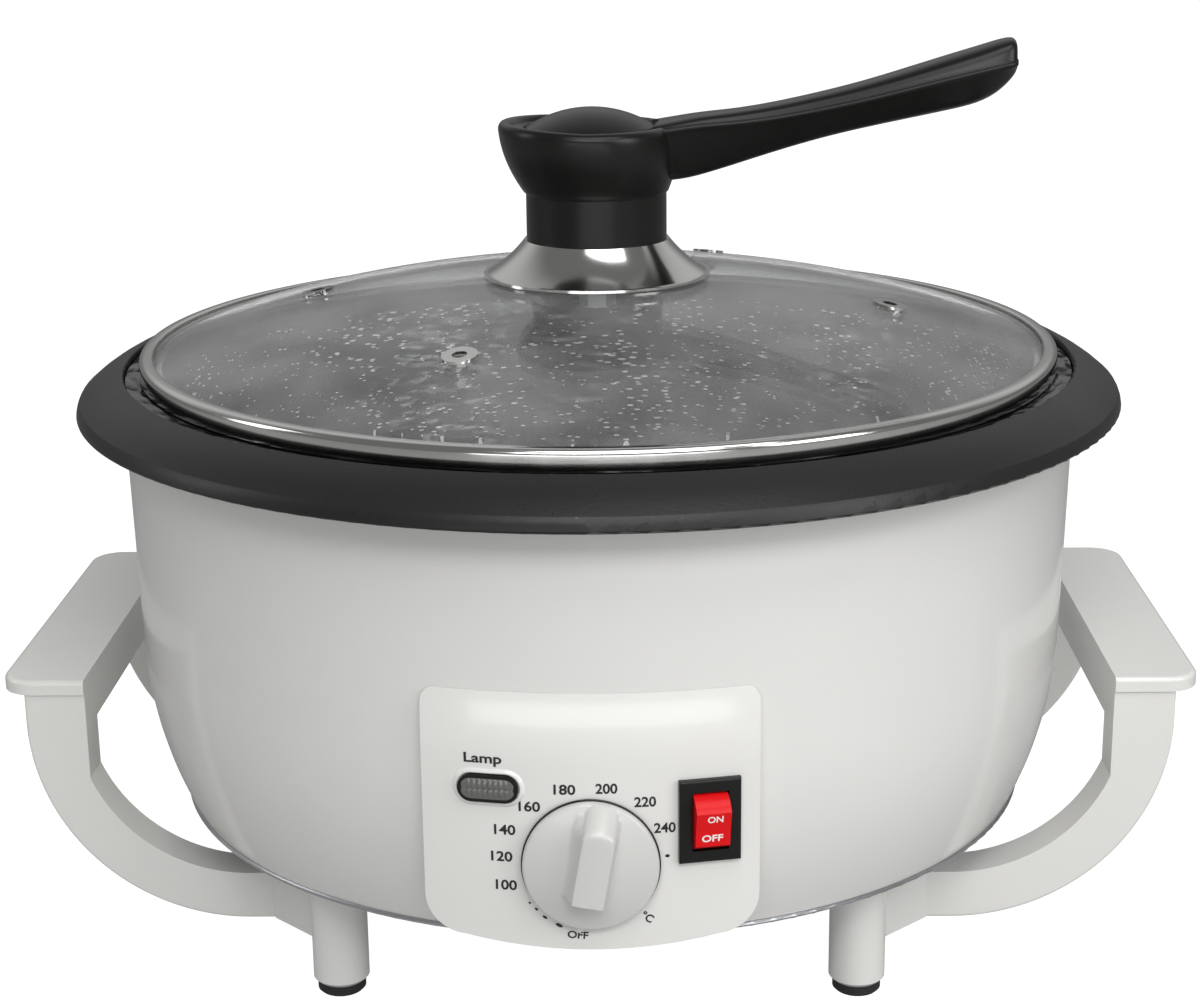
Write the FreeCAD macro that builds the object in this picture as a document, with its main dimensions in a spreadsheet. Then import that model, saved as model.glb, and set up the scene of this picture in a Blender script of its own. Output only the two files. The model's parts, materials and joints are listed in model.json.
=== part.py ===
"""Home coffee bean roaster: a drop-in pan with a motor-driven stirrer under a glass lid.

A white bowl stands on four legs. A black ring on its top edge carries the roasting pan, which a
ring heater warms from below while a geared motor turns the stirrer through the pan's centre tube.
The control panel in front holds a thermostat knob, a rocker switch and a pilot lamp. Each side has
a carrying grip whose straps run down to the legs. The lid lifts off by a long lever handle.

Frame: millimetres, +Z up, the origin on the table under the axis of the bowl. The control panel
faces -Y and the lid lever points along +X.
"""
import FreeCAD, Part
import math
import os

import Sketcher
from FreeCAD import Placement, Rotation, Vector

# Every driving size: its alias in the sheet, its value in millimetres or degrees, what it is.
SIZES = (
    # bowl and base
    ("base_height", 42.2, "underside of the bowl above the table"),
    ("base_thickness", 1.6, "sheet of the base plate"),
    ("base_lip", 0.7, "edge of the base plate outside the bowl"),
    ("bowl_foot_taper", 11.8, "bowl at its lower edge, inside its waist"),
    ("bowl_waist_radius", 149.0, "bowl where its curve ends, which sets the size of the roaster"),
    ("bowl_waist_rise", 51.0, "that place above the lower edge"),
    ("bowl_curve_radius", 126.0, "arc of the lower bowl"),
    ("bowl_mouth_flare", 1.8, "bowl at its top edge, outside its waist"),
    ("bowl_height", 131.0, "lower edge to top edge"),
    ("bowl_wall", 2.4, "wall of the bowl"),
    ("bowl_flange_width", 10.0, "inward flange at the lower edge"),
    ("boss_radius", 4.5, "screw bosses on the bowl's flange"),
    ("boss_height", 9.0, "screw bosses above the flange"),
    ("boss_inset", 6.6, "screw bosses inside the bowl's lower edge"),
    ("window_width", 80.0, "opening in the bowl behind the control panel"),
    ("window_height", 50.0, "that opening, upwards"),
    ("window_rise", 11.0, "that opening above the bowl's lower edge"),
    ("vent_count", 12.0, "cooling slots in the base plate"),
    ("vent_inner_radius", 64.0, "inner end of a cooling slot"),
    ("vent_length", 30.0, "a cooling slot, along the radius"),
    ("vent_half_width", 2.5, "half the width of a cooling slot"),
    ("screw_radius", 1.9, "shank of the small screws"),
    ("screw_head_radius", 3.6, "head of the small screws"),
    ("screw_head_height", 2.2, "head of the small screws"),
    ("screw_clearance", 0.1, "radial play of a screw in its hole"),
    ("screw_overrun", 2.5, "end of a screw past the last sheet that it holds"),
    ("blind_end", 1.0, "what is left past a blind hole, and past a screw's end in it"),
    ("fit_clearance", 0.05, "radial play between pieces that stay together"),
    # rim ring
    ("rim_overhang", 14.2, "widest place of the rim ring outside the bowl's mouth"),
    ("rim_mouth_inset", 0.8, "mouth of the rim ring inside the bowl's mouth"),
    ("rim_ledge_thickness", 2.4, "ledge that carries the pan"),
    ("rim_lip_rise", 4.0, "mouth of the ring above its ledge"),
    ("rim_nose_drop", 12.4, "lowest edge of the ring below its mouth"),
    ("rim_nose_height", 4.6, "where the crown meets the nose, above the lowest edge"),
    ("rim_nose_inset", 1.3, "that place inside the widest one"),
    ("rim_nose_radius", 8.0, "arc down the outside of the nose"),
    ("rim_edge", 1.0, "rounding of the ring's edges"),
    ("rim_crown_radius", 40.0, "arc across the top of the ring"),
    ("rim_wall", 2.6, "wall of the ring"),
    ("rim_socket_depth", 8.0, "overlap of the ring outside the bowl"),
    ("socket_clearance", 0.2, "radial play of the bowl's edge in the ring"),
    # roasting pan
    ("pan_flange_width", 10.6, "inside of the pan at its flange, inside the rim ring's mouth"),
    ("pan_taper", 10.4, "inside of the pan wall at floor level, inside its mouth"),
    ("pan_depth", 76.0, "flange to floor, inside"),
    ("pan_wall", 2.0, "sheet of the pan"),
    ("pan_corner", 15.0, "inside radius between floor and wall"),
    ("pan_flange_play", 0.5, "radial play of the flange in the rim ring"),
    ("pan_seat_play", 0.8, "radial play of the pan wall in the ledge"),
    ("tube_radius", 9.0, "centre tube of the pan, outside at the floor"),
    ("tube_rise", 16.0, "centre tube above the floor"),
    ("tube_taper", 1.0, "centre tube narrower at its top"),
    # drive
    ("shaft_radius", 4.0, "stirrer shaft"),
    ("shaft_rise", 31.0, "top of the shaft above the pan floor"),
    ("shaft_flat_depth", 1.2, "flat ground on the shaft's top end"),
    ("shaft_flat_length", 13.0, "that flat along the shaft"),
    ("shaft_seat", 14.0, "length of the shaft inside the motor"),
    ("shaft_edge", 0.6, "chamfer of the shaft's top end"),
    ("running_clearance", 0.06, "radial play of a turning piece"),
    ("bush_wall", 1.7, "wall of the shaft bush"),
    ("bush_flange_width", 1.5, "flange of the shaft bush under the pan"),
    ("bush_flange_thickness", 1.2, "that flange, along the shaft"),
    ("motor_radius", 29.0, "can of the geared motor"),
    ("motor_floor_gap", 4.0, "can of the geared motor above the base plate"),
    ("motor_drop", 13.0, "top of the can below the heat reflector"),
    ("motor_edge", 1.5, "rounding of the can's lower edge"),
    ("motor_boss_radius", 8.5, "output boss of the motor"),
    ("motor_boss_height", 7.0, "output boss above the can"),
    ("motor_ear_reach", 36.0, "screw holes in the motor's ears, from the shaft"),
    ("motor_ear_half_width", 7.0, "half the width of an ear"),
    ("motor_ear_half_length", 10.5, "half the length of an ear"),
    ("motor_ear_thickness", 2.0, "sheet of an ear"),
    ("bracket_thickness", 1.6, "sheet of the motor bracket"),
    ("bracket_half_length", 45.0, "from the shaft to a bracket leg's outer face"),
    ("bracket_half_width", 15.0, "half the width of the bracket"),
    ("bracket_foot_length", 12.0, "feet of the bracket"),
    ("bracket_hole_play", 0.5, "bracket clear of the motor's boss"),
    # stirrer
    ("hub_foot_radius", 17.0, "stirrer hub at its lower edge"),
    ("hub_neck_radius", 11.5, "stirrer hub below its cap"),
    ("hub_cap_radius", 14.0, "cap that the fingers lift the stirrer by"),
    ("hub_cap_height", 7.0, "that cap, upwards"),
    ("hub_waist_radius", 40.0, "hollow curve of the hub"),
    ("hub_seat_gap", 0.5, "hub clear of the shaft's end"),
    ("hub_rise", 44.0, "top of the stirrer hub above the pan floor"),
    ("hub_skirt_height", 13.0, "straight lower part of the hub"),
    ("hub_play", 0.15, "play of the hub on the shaft"),
    ("hub_skirt_gap", 1.5, "hub skirt clear of the pan floor and tube"),
    ("arm_radius", 2.0, "wire of the stirrer arms"),
    ("arm_floor_gap", 2.5, "arms clear of the pan floor"),
    ("arm_root_rise", 8.0, "where the arms leave the hub, above the pan floor"),
    ("arm_seat", 4.0, "arm end sunk into the hub"),
    ("long_arm_gap", 17.0, "end of the long arm inside the pan's wall"),
    ("short_arm_share", 0.75, "short arm, as a share of the long one's reach"),
    ("arm_tip_rise", 12.0, "upturned end of an arm"),
    ("arm_bend", 8.0, "bends of an arm"),
    ("arm_shoulder", 8.0, "level stretch of an arm outside the hub"),
    ("arm_slope", 18.0, "sloping stretch of an arm"),
    # heater
    ("element_inset", 37.0, "ring of the heating element inside the pan's wall"),
    ("element_tube_radius", 3.3, "tube of the heating element"),
    ("element_opening", 30.0, "gap in the ring, degrees"),
    ("element_heading", 90.0, "middle of that gap from the lever, degrees"),
    ("element_pin_radius", 1.4, "terminal pins of the element"),
    ("element_pin_length", 9.0, "terminal pins below the cold ends"),
    ("element_gap", 0.1, "element clear of the pan"),
    ("element_end_drop", 2.0, "cold ends below the reflector"),
    ("element_hole_play", 0.6, "cold ends clear of the reflector"),
    ("reflector_margin", 12.0, "heat reflector's flat floor outside the element"),
    ("reflector_flare", 7.0, "heat reflector where its wall meets the flange, outside its floor"),
    ("reflector_flange_width", 6.0, "flange under the pan"),
    ("reflector_depth", 15.0, "heat reflector, pan underside to its floor"),
    ("reflector_wall", 0.8, "sheet of the heat reflector"),
    ("reflector_hole_radius", 14.0, "hole for the shaft"),
    ("saddle_half_length", 5.0, "half the length of an element saddle"),
    ("saddle_half_width", 6.0, "half the width of an element saddle"),
    ("saddle_angle", 30.0, "first saddle from the lever, degrees"),
    ("post_radius", 4.0, "posts that carry the reflector"),
    ("post_inset", 5.0, "posts inside the edge of the reflector's floor"),
    ("post_angle", 45.0, "first post from the lever, degrees"),
    # control panel
    ("panel_standoff", 4.0, "face of the panel in front of the bowl's waist"),
    ("panel_width", 92.0, "control panel, side to side"),
    ("panel_rise", 2.9, "panel above the bowl's lower edge"),
    ("panel_height", 73.5, "control panel, upwards"),
    ("panel_shoulder", 20.0, "sloping top of the panel, upwards"),
    ("panel_corner", 11.0, "lower corners of the panel"),
    ("panel_sag", 2.9, "bow of the panel's lower edge"),
    ("panel_top_corner", 4.0, "upper corners of the panel"),
    ("panel_wall", 2.4, "wall of the panel"),
    ("panel_tip", 0.3, "top edge of the panel, off the bowl"),
    ("panel_seat_gap", 0.1, "panel clear of the bowl"),
    ("knob_rise", 28.6, "knob axis above the bowl's lower edge"),
    ("knob_radius", 18.7, "knob skirt"),
    ("knob_depth", 11.0, "knob, skirt to grip bar"),
    ("knob_skirt_depth", 2.6, "knob skirt"),
    ("knob_face_inset", 1.2, "knob face inside the skirt"),
    ("knob_dome", 2.2, "doming of the knob face"),
    ("knob_bevel", 1.4, "bevel from the skirt up to the knob face"),
    ("knob_bar_inset", 2.1, "ends of the grip bar inside the skirt"),
    ("knob_bar_edge", 1.2, "rounding of the grip bar"),
    ("knob_front_wall", 3.0, "knob in front of its spindle"),
    ("knob_gap", 0.6, "knob clear of the panel"),
    ("knob_bar_half_width", 4.2, "half the width of the grip bar"),
    ("knob_bar_end_half_width", 3.15, "half its width at its ends"),
    ("knob_bar_end_radius", 12.6, "curve of its ends"),
    ("knob_bar_side_radius", 99.6, "curve of its sides"),
    ("pointer_reach", 1.6, "pointer beyond the knob skirt"),
    ("pointer_half_width", 2.2, "half the width of the pointer"),
    ("off_mark_angle", 10.0, "off mark from straight below the knob, degrees"),
    ("spindle_radius", 3.0, "thermostat spindle"),
    ("spindle_flat_depth", 0.9, "flat on the spindle"),
    ("spindle_seat", 8.0, "spindle inside the thermostat"),
    ("thermostat_radius", 17.0, "thermostat body"),
    ("thermostat_depth", 20.0, "thermostat body"),
    ("thermostat_neck_radius", 5.2, "threaded neck of the thermostat"),
    ("thermostat_plate_half_width", 20.0, "half the width of its plate"),
    ("thermostat_plate_half_height", 13.0, "half the height of its plate"),
    ("thermostat_plate_thickness", 1.4, "its plate"),
    ("thermostat_plate_gap", 0.1, "its plate clear of the panel at its ends"),
    ("thermostat_neck_inset", 0.3, "end of the neck behind the panel's face"),
    ("thermostat_tab_reach", 8.5, "terminals of the thermostat from its axis"),
    ("switch_rise", 40.2, "switch centre above the bowl's lower edge"),
    ("switch_angle", 12.1, "switch to the right of the panel's middle, degrees"),
    ("switch_width", 17.2, "switch bezel"),
    ("switch_height", 24.0, "switch bezel"),
    ("switch_flange_thickness", 1.8, "switch bezel in front of the panel"),
    ("bezel_gap", 0.1, "switch and lamp bezels clear of the panel's face"),
    ("switch_edge", 0.7, "rounding of the switch bezel"),
    ("switch_well_depth", 11.0, "well for the rocker"),
    ("switch_tab_share", 0.45, "terminals from the middle, as a share of half the bezel"),
    ("switch_border", 3.5, "bezel border around the rocker"),
    ("switch_case_inset", 2.0, "switch case inside the bezel's edge"),
    ("switch_depth", 21.0, "switch case behind the panel"),
    ("switch_throw", 20.0, "rocker from off to on, degrees"),
    ("rocker_gap", 0.3, "rocker clear of the bezel"),
    ("rocker_crest_angle", 38.3, "edges of the rocker face from its middle, degrees"),
    ("rocker_hollow_radius", 60.0, "hollow of the rocker face"),
    ("rocker_pin_seat", 0.6, "rocker pin into the wall of the well"),
    ("rocker_pivot_depth", 3.0, "rocker pin behind the bezel's front"),
    ("rocker_pin_radius", 1.5, "rocker pin"),
    ("rocker_stem_depth", 4.5, "foot of the rocker behind its pin"),
    ("rocker_stem_half_height", 3.0, "half the height of that foot"),
    ("tab_width", 6.3, "push-on terminals"),
    ("tab_length", 8.0, "push-on terminals"),
    ("tab_thickness", 0.8, "push-on terminals"),
    ("lamp_rise", 49.9, "pilot lamp above the bowl's lower edge"),
    ("lamp_angle", 10.36, "pilot lamp to the left of the panel's middle, degrees"),
    ("lamp_width", 17.0, "lamp bezel"),
    ("lamp_height", 7.8, "lamp bezel"),
    ("lamp_border", 1.3, "lamp bezel around the lens"),
    ("lamp_wall", 0.9, "wall of the lamp sleeve"),
    ("lamp_floor", 2.0, "closed end of the lamp sleeve"),
    ("lens_depth", 2.3, "lens behind its bezel's front"),
    ("lens_edge", 0.5, "rounding of the lens"),
    ("lamp_flange_thickness", 1.2, "lamp bezel in front of the panel"),
    ("lamp_depth", 15.0, "lamp sleeve behind the panel"),
    ("lens_dome", 0.6, "lens in front of its bezel"),
    ("neon_radius", 1.5, "neon tube in the lamp"),
    ("neon_length", 9.0, "neon tube in the lamp"),
    # mains entry
    ("gland_rise", 18.0, "cable gland above the bowl's lower edge"),
    ("gland_boss_radius", 11.5, "flat boss on the bowl for the gland"),
    ("gland_boss_inset", 4.0, "face of that boss inside the bowl's waist"),
    ("gland_boss_depth", 9.0, "that boss, inwards"),
    ("gland_flange_radius", 9.5, "flange of the gland"),
    ("gland_flange_thickness", 3.0, "flange of the gland"),
    ("gland_sleeve_radius", 6.4, "gland through the bowl"),
    ("gland_nose", 2.0, "tapered end of the gland inside the bowl"),
    ("gland_taper", 0.6, "that taper, across"),
    ("gland_edge", 1.5, "bevel of the gland's flange"),
    ("cable_bore_radius", 3.6, "hole for the mains cable"),
    ("terminal_inset", 33.2, "terminal block inside the bowl's lower edge"),
    ("terminal_half_width", 14.0, "half the width of the terminal block"),
    ("terminal_half_depth", 7.0, "half the depth of the terminal block"),
    ("terminal_height", 13.0, "terminal block"),
    ("terminal_step", 6.0, "low front of the terminal block"),
    ("terminal_step_depth", 4.2, "that step, front to back"),
    ("terminal_well_radius", 2.2, "screw wells of the terminal block"),
    ("terminal_well_pitch", 8.7, "screw wells, apart"),
    ("terminal_well_depth", 5.0, "screw wells"),
    # legs, straps and grips
    ("leg_inset", 18.46, "leg inside the bowl's lower edge"),
    ("leg_angle", 41.45, "leg to the side of the middle plane, degrees"),
    ("leg_radius", 8.5, "leg"),
    ("leg_chamfer", 1.2, "lower edge of a leg"),
    ("foot_radius", 7.3, "rubber foot"),
    ("foot_height", 3.5, "rubber foot below the leg"),
    ("foot_chamfer", 0.8, "lower edge of a rubber foot"),
    ("foot_plug_radius", 4.5, "plug of the rubber foot"),
    ("foot_plug_length", 7.0, "plug of the rubber foot"),
    ("leg_screw_length", 16.0, "leg screw below its head"),
    ("strap_face", 66.5, "outer face of a strap from the middle plane"),
    ("strap_depth", 14.0, "strap, front to back"),
    ("strap_floor", 12.0, "lowest edge of a strap above the table"),
    ("strap_curve_radius", 65.8, "outer curve of a strap"),
    ("strap_width", 18.7, "strap at the grip"),
    ("strap_foot_width", 15.4, "strap at the leg"),
    ("strap_inner_radius", 51.0, "inner curve of a strap"),
    ("strap_inner_rise", 32.0, "length of that curve, upwards"),
    ("strap_edge", 1.0, "rounding of a strap's outer edges"),
    ("strap_toe", 8.1, "level end of the strap, from its outer curve to the leg"),
    ("tenon_length", 5.0, "tongue of a strap inside the leg"),
    ("tenon_inset", 3.0, "tongue inside the strap's section"),
    ("grip_gap", 8.3, "grip clear of the bowl's waist"),
    ("grip_width", 26.2, "grip plate, sideways"),
    ("grip_overhang", 0.8, "ends of the grip plate past its straps"),
    ("grip_rise", 49.5, "top of the grip above the bowl's lower edge"),
    ("grip_plate", 4.5, "edge of the grip plate"),
    ("grip_corner", 10.0, "outer corners of the grip plate"),
    ("grip_edge", 1.4, "rounding of the grip plate's top edge"),
    ("grip_skirt_depth", 12.0, "inner wall of the grip below its plate"),
    ("grip_skirt_wall", 3.2, "inner wall of the grip"),
    ("peg_radius", 2.5, "pegs that join strap and grip"),
    ("peg_length", 2.8, "pegs that join strap and grip"),
    ("peg_pitch", 9.5, "pair of pegs, apart"),
    # lid
    ("lid_overlap", 5.6, "steel band of the lid outside the pan's mouth"),
    ("lid_play", 0.3, "band above the pan's flange"),
    ("band_height", 6.6, "band, upwards"),
    ("band_thickness", 0.8, "sheet of the band"),
    ("band_bend", 1.8, "bend over the edge of the glass"),
    ("band_foot_bend", 0.6, "bend at the band's lower edge"),
    ("band_overlap", 3.8, "band over the glass, inwards"),
    ("band_skirt_play", 1.2, "band inside the pan's mouth"),
    ("band_skirt_depth", 6.0, "band below the flange"),
    ("glass_thickness", 3.8, "lid glass"),
    ("glass_edge", 0.6, "ground edge of the glass"),
    ("glass_edge_gap", 1.4, "glass inside the band's outer wall"),
    ("glass_rise", 23.4, "dome of the glass"),
    ("glass_bore_radius", 4.5, "centre hole of the glass"),
    ("vent_hole_radius", 3.0, "steam vents in the glass"),
    ("vent_eyelet_radius", 5.3, "eyelet flange"),
    ("vent_eyelet_thickness", 0.8, "eyelet flange"),
    ("vent_eyelet_wall", 0.7, "tube of an eyelet"),
    ("vent_inset", 52.0, "steam vents inside the lid's edge"),
    ("vent_first_angle", -9.2, "first pair of steam vents from the lever, degrees"),
    ("vent_split", 75.4, "second pair of steam vents from the first, degrees"),
    ("collar_foot_radius", 36.0, "steel collar on the glass"),
    ("collar_neck_radius", 22.9, "steel collar under the handle"),
    ("collar_height", 11.4, "steel collar"),
    ("collar_flare_radius", 40.0, "hollow curve of the collar"),
    ("collar_sheet", 0.9, "sheet of the collar"),
    ("collar_hem", 2.2, "flat hem of the collar on the glass"),
    ("boss_length", 14.6, "black boss between collar and handle"),
    ("lid_boss_radius", 22.2, "black boss"),
    ("handle_foot_radius", 23.0, "handle head on its boss"),
    ("handle_head_radius", 27.9, "handle head at its top"),
    ("handle_head_shift", 3.0, "top of the head towards the back of the lever"),
    ("handle_head_height", 21.0, "handle head"),
    ("cap_radius", 20.2, "domed cap in the handle head"),
    ("cap_dome", 6.0, "domed cap"),
    ("cap_shift", 1.5, "middle of the cap towards the back of the lever"),
    ("cap_depth", 4.5, "recess of the cap"),
    ("cap_edge_height", 3.9, "straight edge of the cap"),
    ("cap_play", 0.25, "radial play of the cap in its recess"),
    ("head_edge", 1.4, "bevel round the top of the handle head"),
    ("lever_bead", 1.0, "bead along each shoulder of the lever"),
    ("lever_groove", 2.6, "shoulder to the crown's foot, sideways"),
    ("lever_groove_depth", 0.5, "crown's foot below the shoulder"),
    ("lever_keel_sag", 1.2, "rounding of the lever's underside"),
    ("bolt_radius", 3.0, "bolt through handle, collar and glass"),
    ("bolt_play", 0.3, "radial play of the bolt in collar and boss"),
    ("bolt_head_play", 1.0, "radial play of the bolt head in its well"),
    ("bolt_head_radius", 6.0, "head of that bolt"),
    ("bolt_head_height", 4.0, "head of that bolt"),
    ("bolt_bridge", 12.0, "handle material below the bolt head"),
    ("gasket_radius", 11.0, "silicone gasket under the glass"),
    ("gasket_thickness", 1.2, "silicone gasket"),
    ("washer_radius", 10.0, "steel washer under the gasket"),
    ("washer_thickness", 1.2, "steel washer"),
    ("nut_radius", 5.8, "cap nut across corners"),
    ("nut_height", 6.5, "cap nut"),
    ("nut_roof", 2.0, "closed end of the cap nut"),
)

# Lever of the lid handle, station by station from the head to the tip: distance from the lid's
# axis, shoulder and underside above the foot of the handle head, crown above the shoulder,
# half width at the shoulder and half width of the underside.
LEVER_STATIONS = (
    ("root", 14.0, 20.0, 5.6, 1.8, 12.0, 7.0),
    ("neck", 30.0, 22.0, 6.4, 2.2, 11.6, 6.6),
    ("waist", 56.0, 24.4, 13.6, 3.0, 11.4, 5.6),
    ("grip", 83.0, 29.6, 20.4, 3.8, 12.2, 5.6),
    ("palm", 108.0, 35.6, 25.2, 5.3, 13.0, 5.8),
    ("lobe", 121.0, 38.5, 28.8, 6.2, 12.8, 6.0),
    ("tip", 129.5, 40.2, 35.8, 6.9, 11.6, 6.2),
)
LEVER_COLUMNS = ("reach", "shoulder", "under", "crown", "half_width", "half_under")

# Rings of the handle head from its foot to its lip: share of the height, share of the growth.
HEAD_RINGS = ((0.0, 0.0), (0.15, 0.32), (0.3, 0.58), (0.5, 0.84), (0.7, 0.97), (1.0, 1.0))

NUT_SIDES = 6

# How near two places count as the same, in millimetres.
TOUCH = 0.01

document = FreeCAD.newDocument("coffee_roaster")


class Size:
    """A length or angle: the expression that binds it to the sheet, and its value now."""

    def __init__(self, text, value):
        self.text = text
        self.value = value

    def _join(self, sign, other, value):
        return Size("(%s %s %s)" % (self.text, sign, other.text), value)

    def __add__(self, other):
        other = as_size(other)
        return self._join("+", other, self.value + other.value)

    def __radd__(self, other):
        return as_size(other) + self

    def __sub__(self, other):
        other = as_size(other)
        return self._join("-", other, self.value - other.value)

    def __rsub__(self, other):
        return as_size(other) - self

    def __mul__(self, other):
        other = as_size(other)
        return self._join("*", other, self.value * other.value)

    def __rmul__(self, other):
        return as_size(other) * self

    def __truediv__(self, other):
        other = as_size(other)
        return self._join("/", other, self.value / other.value)

    def __neg__(self):
        return Size("(0 - %s)" % self.text, -self.value)

    @property
    def bound(self):
        """Whether the size reads the sheet."""
        return "Sizes." in self.text


def as_size(number):
    """Wrap a plain number."""
    if isinstance(number, Size):
        return number
    return Size("%.12g" % number, float(number))


def cosine(angle):
    return Size("cos(%s)" % angle.text, math.cos(math.radians(angle.value)))


def sine(angle):
    return Size("sin(%s)" % angle.text, math.sin(math.radians(angle.value)))


def root(size):
    return Size("sqrt(%s)" % size.text, math.sqrt(size.value))


class SizeSheet:
    """The spreadsheet of driving sizes, read as attributes."""

    def __init__(self, rows):
        self.sheet = document.addObject("Spreadsheet::Sheet", "Sizes")
        for number, (alias, value, meaning) in enumerate(rows, start=1):
            self.sheet.set("A%d" % number, alias)
            self.sheet.set("B%d" % number, "%.12g" % value)
            self.sheet.set("C%d" % number, meaning)
            self.sheet.setAlias("B%d" % number, alias)
        document.recompute()

    def __getattr__(self, alias):
        return Size("Sizes.%s" % alias, float(self.sheet.get(alias)))


LEVER_SIZES = tuple(
    ("lever_%s_%s" % (station[0], column), value, "lid lever at its %s: %s" % (station[0], column))
    for station in LEVER_STATIONS
    for column, value in zip(LEVER_COLUMNS, station[1:])
)
HEAD_SIZES = tuple(
    ("head_ring_%d_%s" % (number, column), value,
     "ring %d of the handle head: %s" % (number, column))
    for number, shares in enumerate(HEAD_RINGS)
    for column, value in zip(("rise", "growth"), shares)
)
s = SizeSheet(SIZES + LEVER_SIZES + HEAD_SIZES)


# ---------------------------------------------------------------- sketches and features

def at(across, up, left=None, right=None):
    """A corner of an outline; left or right gives the radius of an arc to the next corner,
    whose centre lies on that side of the way there."""
    return (as_size(across), as_size(up), left, right)


def ring(across, up, radius):
    """A full circle."""
    return ("circle", as_size(across), as_size(up), as_size(radius))


def bind(thing, path, size):
    """Bind a property to the sheet."""
    if size.bound:
        thing.setExpression(path, size.text)


def pin_point(sketch, geometry, point, across, up):
    """Fix a sketch point at its place from the sketch's origin."""
    for kind, size in (("DistanceX", across), ("DistanceY", up)):
        index = sketch.addConstraint(Sketcher.Constraint(kind, -1, 1, geometry, point, size.value))
        bind(sketch, "Constraints[%d]" % index, size)


def set_radius(sketch, geometry, radius):
    index = sketch.addConstraint(Sketcher.Constraint("Radius", geometry, radius.value))
    bind(sketch, "Constraints[%d]" % index, radius)


def arc_between(start, end, radius, centre_left):
    """A minor arc between two points, and whether it runs with the sketch's sense."""
    middle = (start + end) * 0.5
    half = (end - start) * 0.5
    leftwards = Vector(-half.y, half.x, 0).normalize()
    height = math.sqrt(max(radius * radius - half.Length * half.Length, 0.0))
    centre = middle + leftwards * (height if centre_left else -height)
    first, last = (start, end) if centre_left else (end, start)
    begin = math.atan2(first.y - centre.y, first.x - centre.x)
    finish = math.atan2(last.y - centre.y, last.x - centre.x)
    if finish < begin:
        finish += 2 * math.pi
    circle = Part.Circle(centre, Vector(0, 0, 1), radius)
    return Part.ArcOfCircle(circle, begin, finish)


def draw_loop(sketch, corners, closed=True):
    """Draw an outline of lines and arcs, and fix every corner and radius."""
    places = [Vector(corner[0].value, corner[1].value, 0) for corner in corners]
    count = len(corners) if closed else len(corners) - 1
    ends = []
    for number in range(count):
        across, up, left, right = corners[number]
        start, end = places[number], places[(number + 1) % len(places)]
        if left is None and right is None:
            geometry = sketch.addGeometry(Part.LineSegment(start, end), False)
            ends.append((geometry, 1, 2))
        else:
            radius = as_size(left if right is None else right)
            arc = arc_between(start, end, radius.value, right is None)
            geometry = sketch.addGeometry(arc, False)
            ends.append((geometry, 1, 2) if right is None else (geometry, 2, 1))
            set_radius(sketch, geometry, radius)
        pin_point(sketch, geometry, ends[-1][1], across, up)
    joins = count if closed else count - 1
    for number in range(joins):
        here, there = ends[number], ends[(number + 1) % count]
        sketch.addConstraint(
            Sketcher.Constraint("Coincident", here[0], here[2], there[0], there[1]))
    if not closed:
        pin_point(sketch, ends[-1][0], ends[-1][2], corners[-1][0], corners[-1][1])


def draw_circle(sketch, across, up, radius):
    place = Vector(across.value, up.value, 0)
    geometry = sketch.addGeometry(Part.Circle(place, Vector(0, 0, 1), radius.value), False)
    pin_point(sketch, geometry, 3, across, up)
    set_radius(sketch, geometry, radius)


def box_loop(left, right, low, high):
    """A rectangle."""
    return [at(left, low), at(right, low), at(right, high), at(left, high)]


# A half circle's radius is a hair over half its chord, which leaves the sketch one solution.
HALF_CIRCLE = 1.0001


def slot_loop(half_length, half_width, across=0.0, up=0.0):
    """A slot with round ends that lies along the sketch's first axis."""
    reach = as_size(half_length) - half_width
    across, up = as_size(across), as_size(up)
    end = half_width * HALF_CIRCLE
    return [
        at(across - reach, up - half_width),
        at(across + reach, up - half_width, left=end),
        at(across + reach, up + half_width),
        at(across - reach, up + half_width, left=end),
    ]


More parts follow.
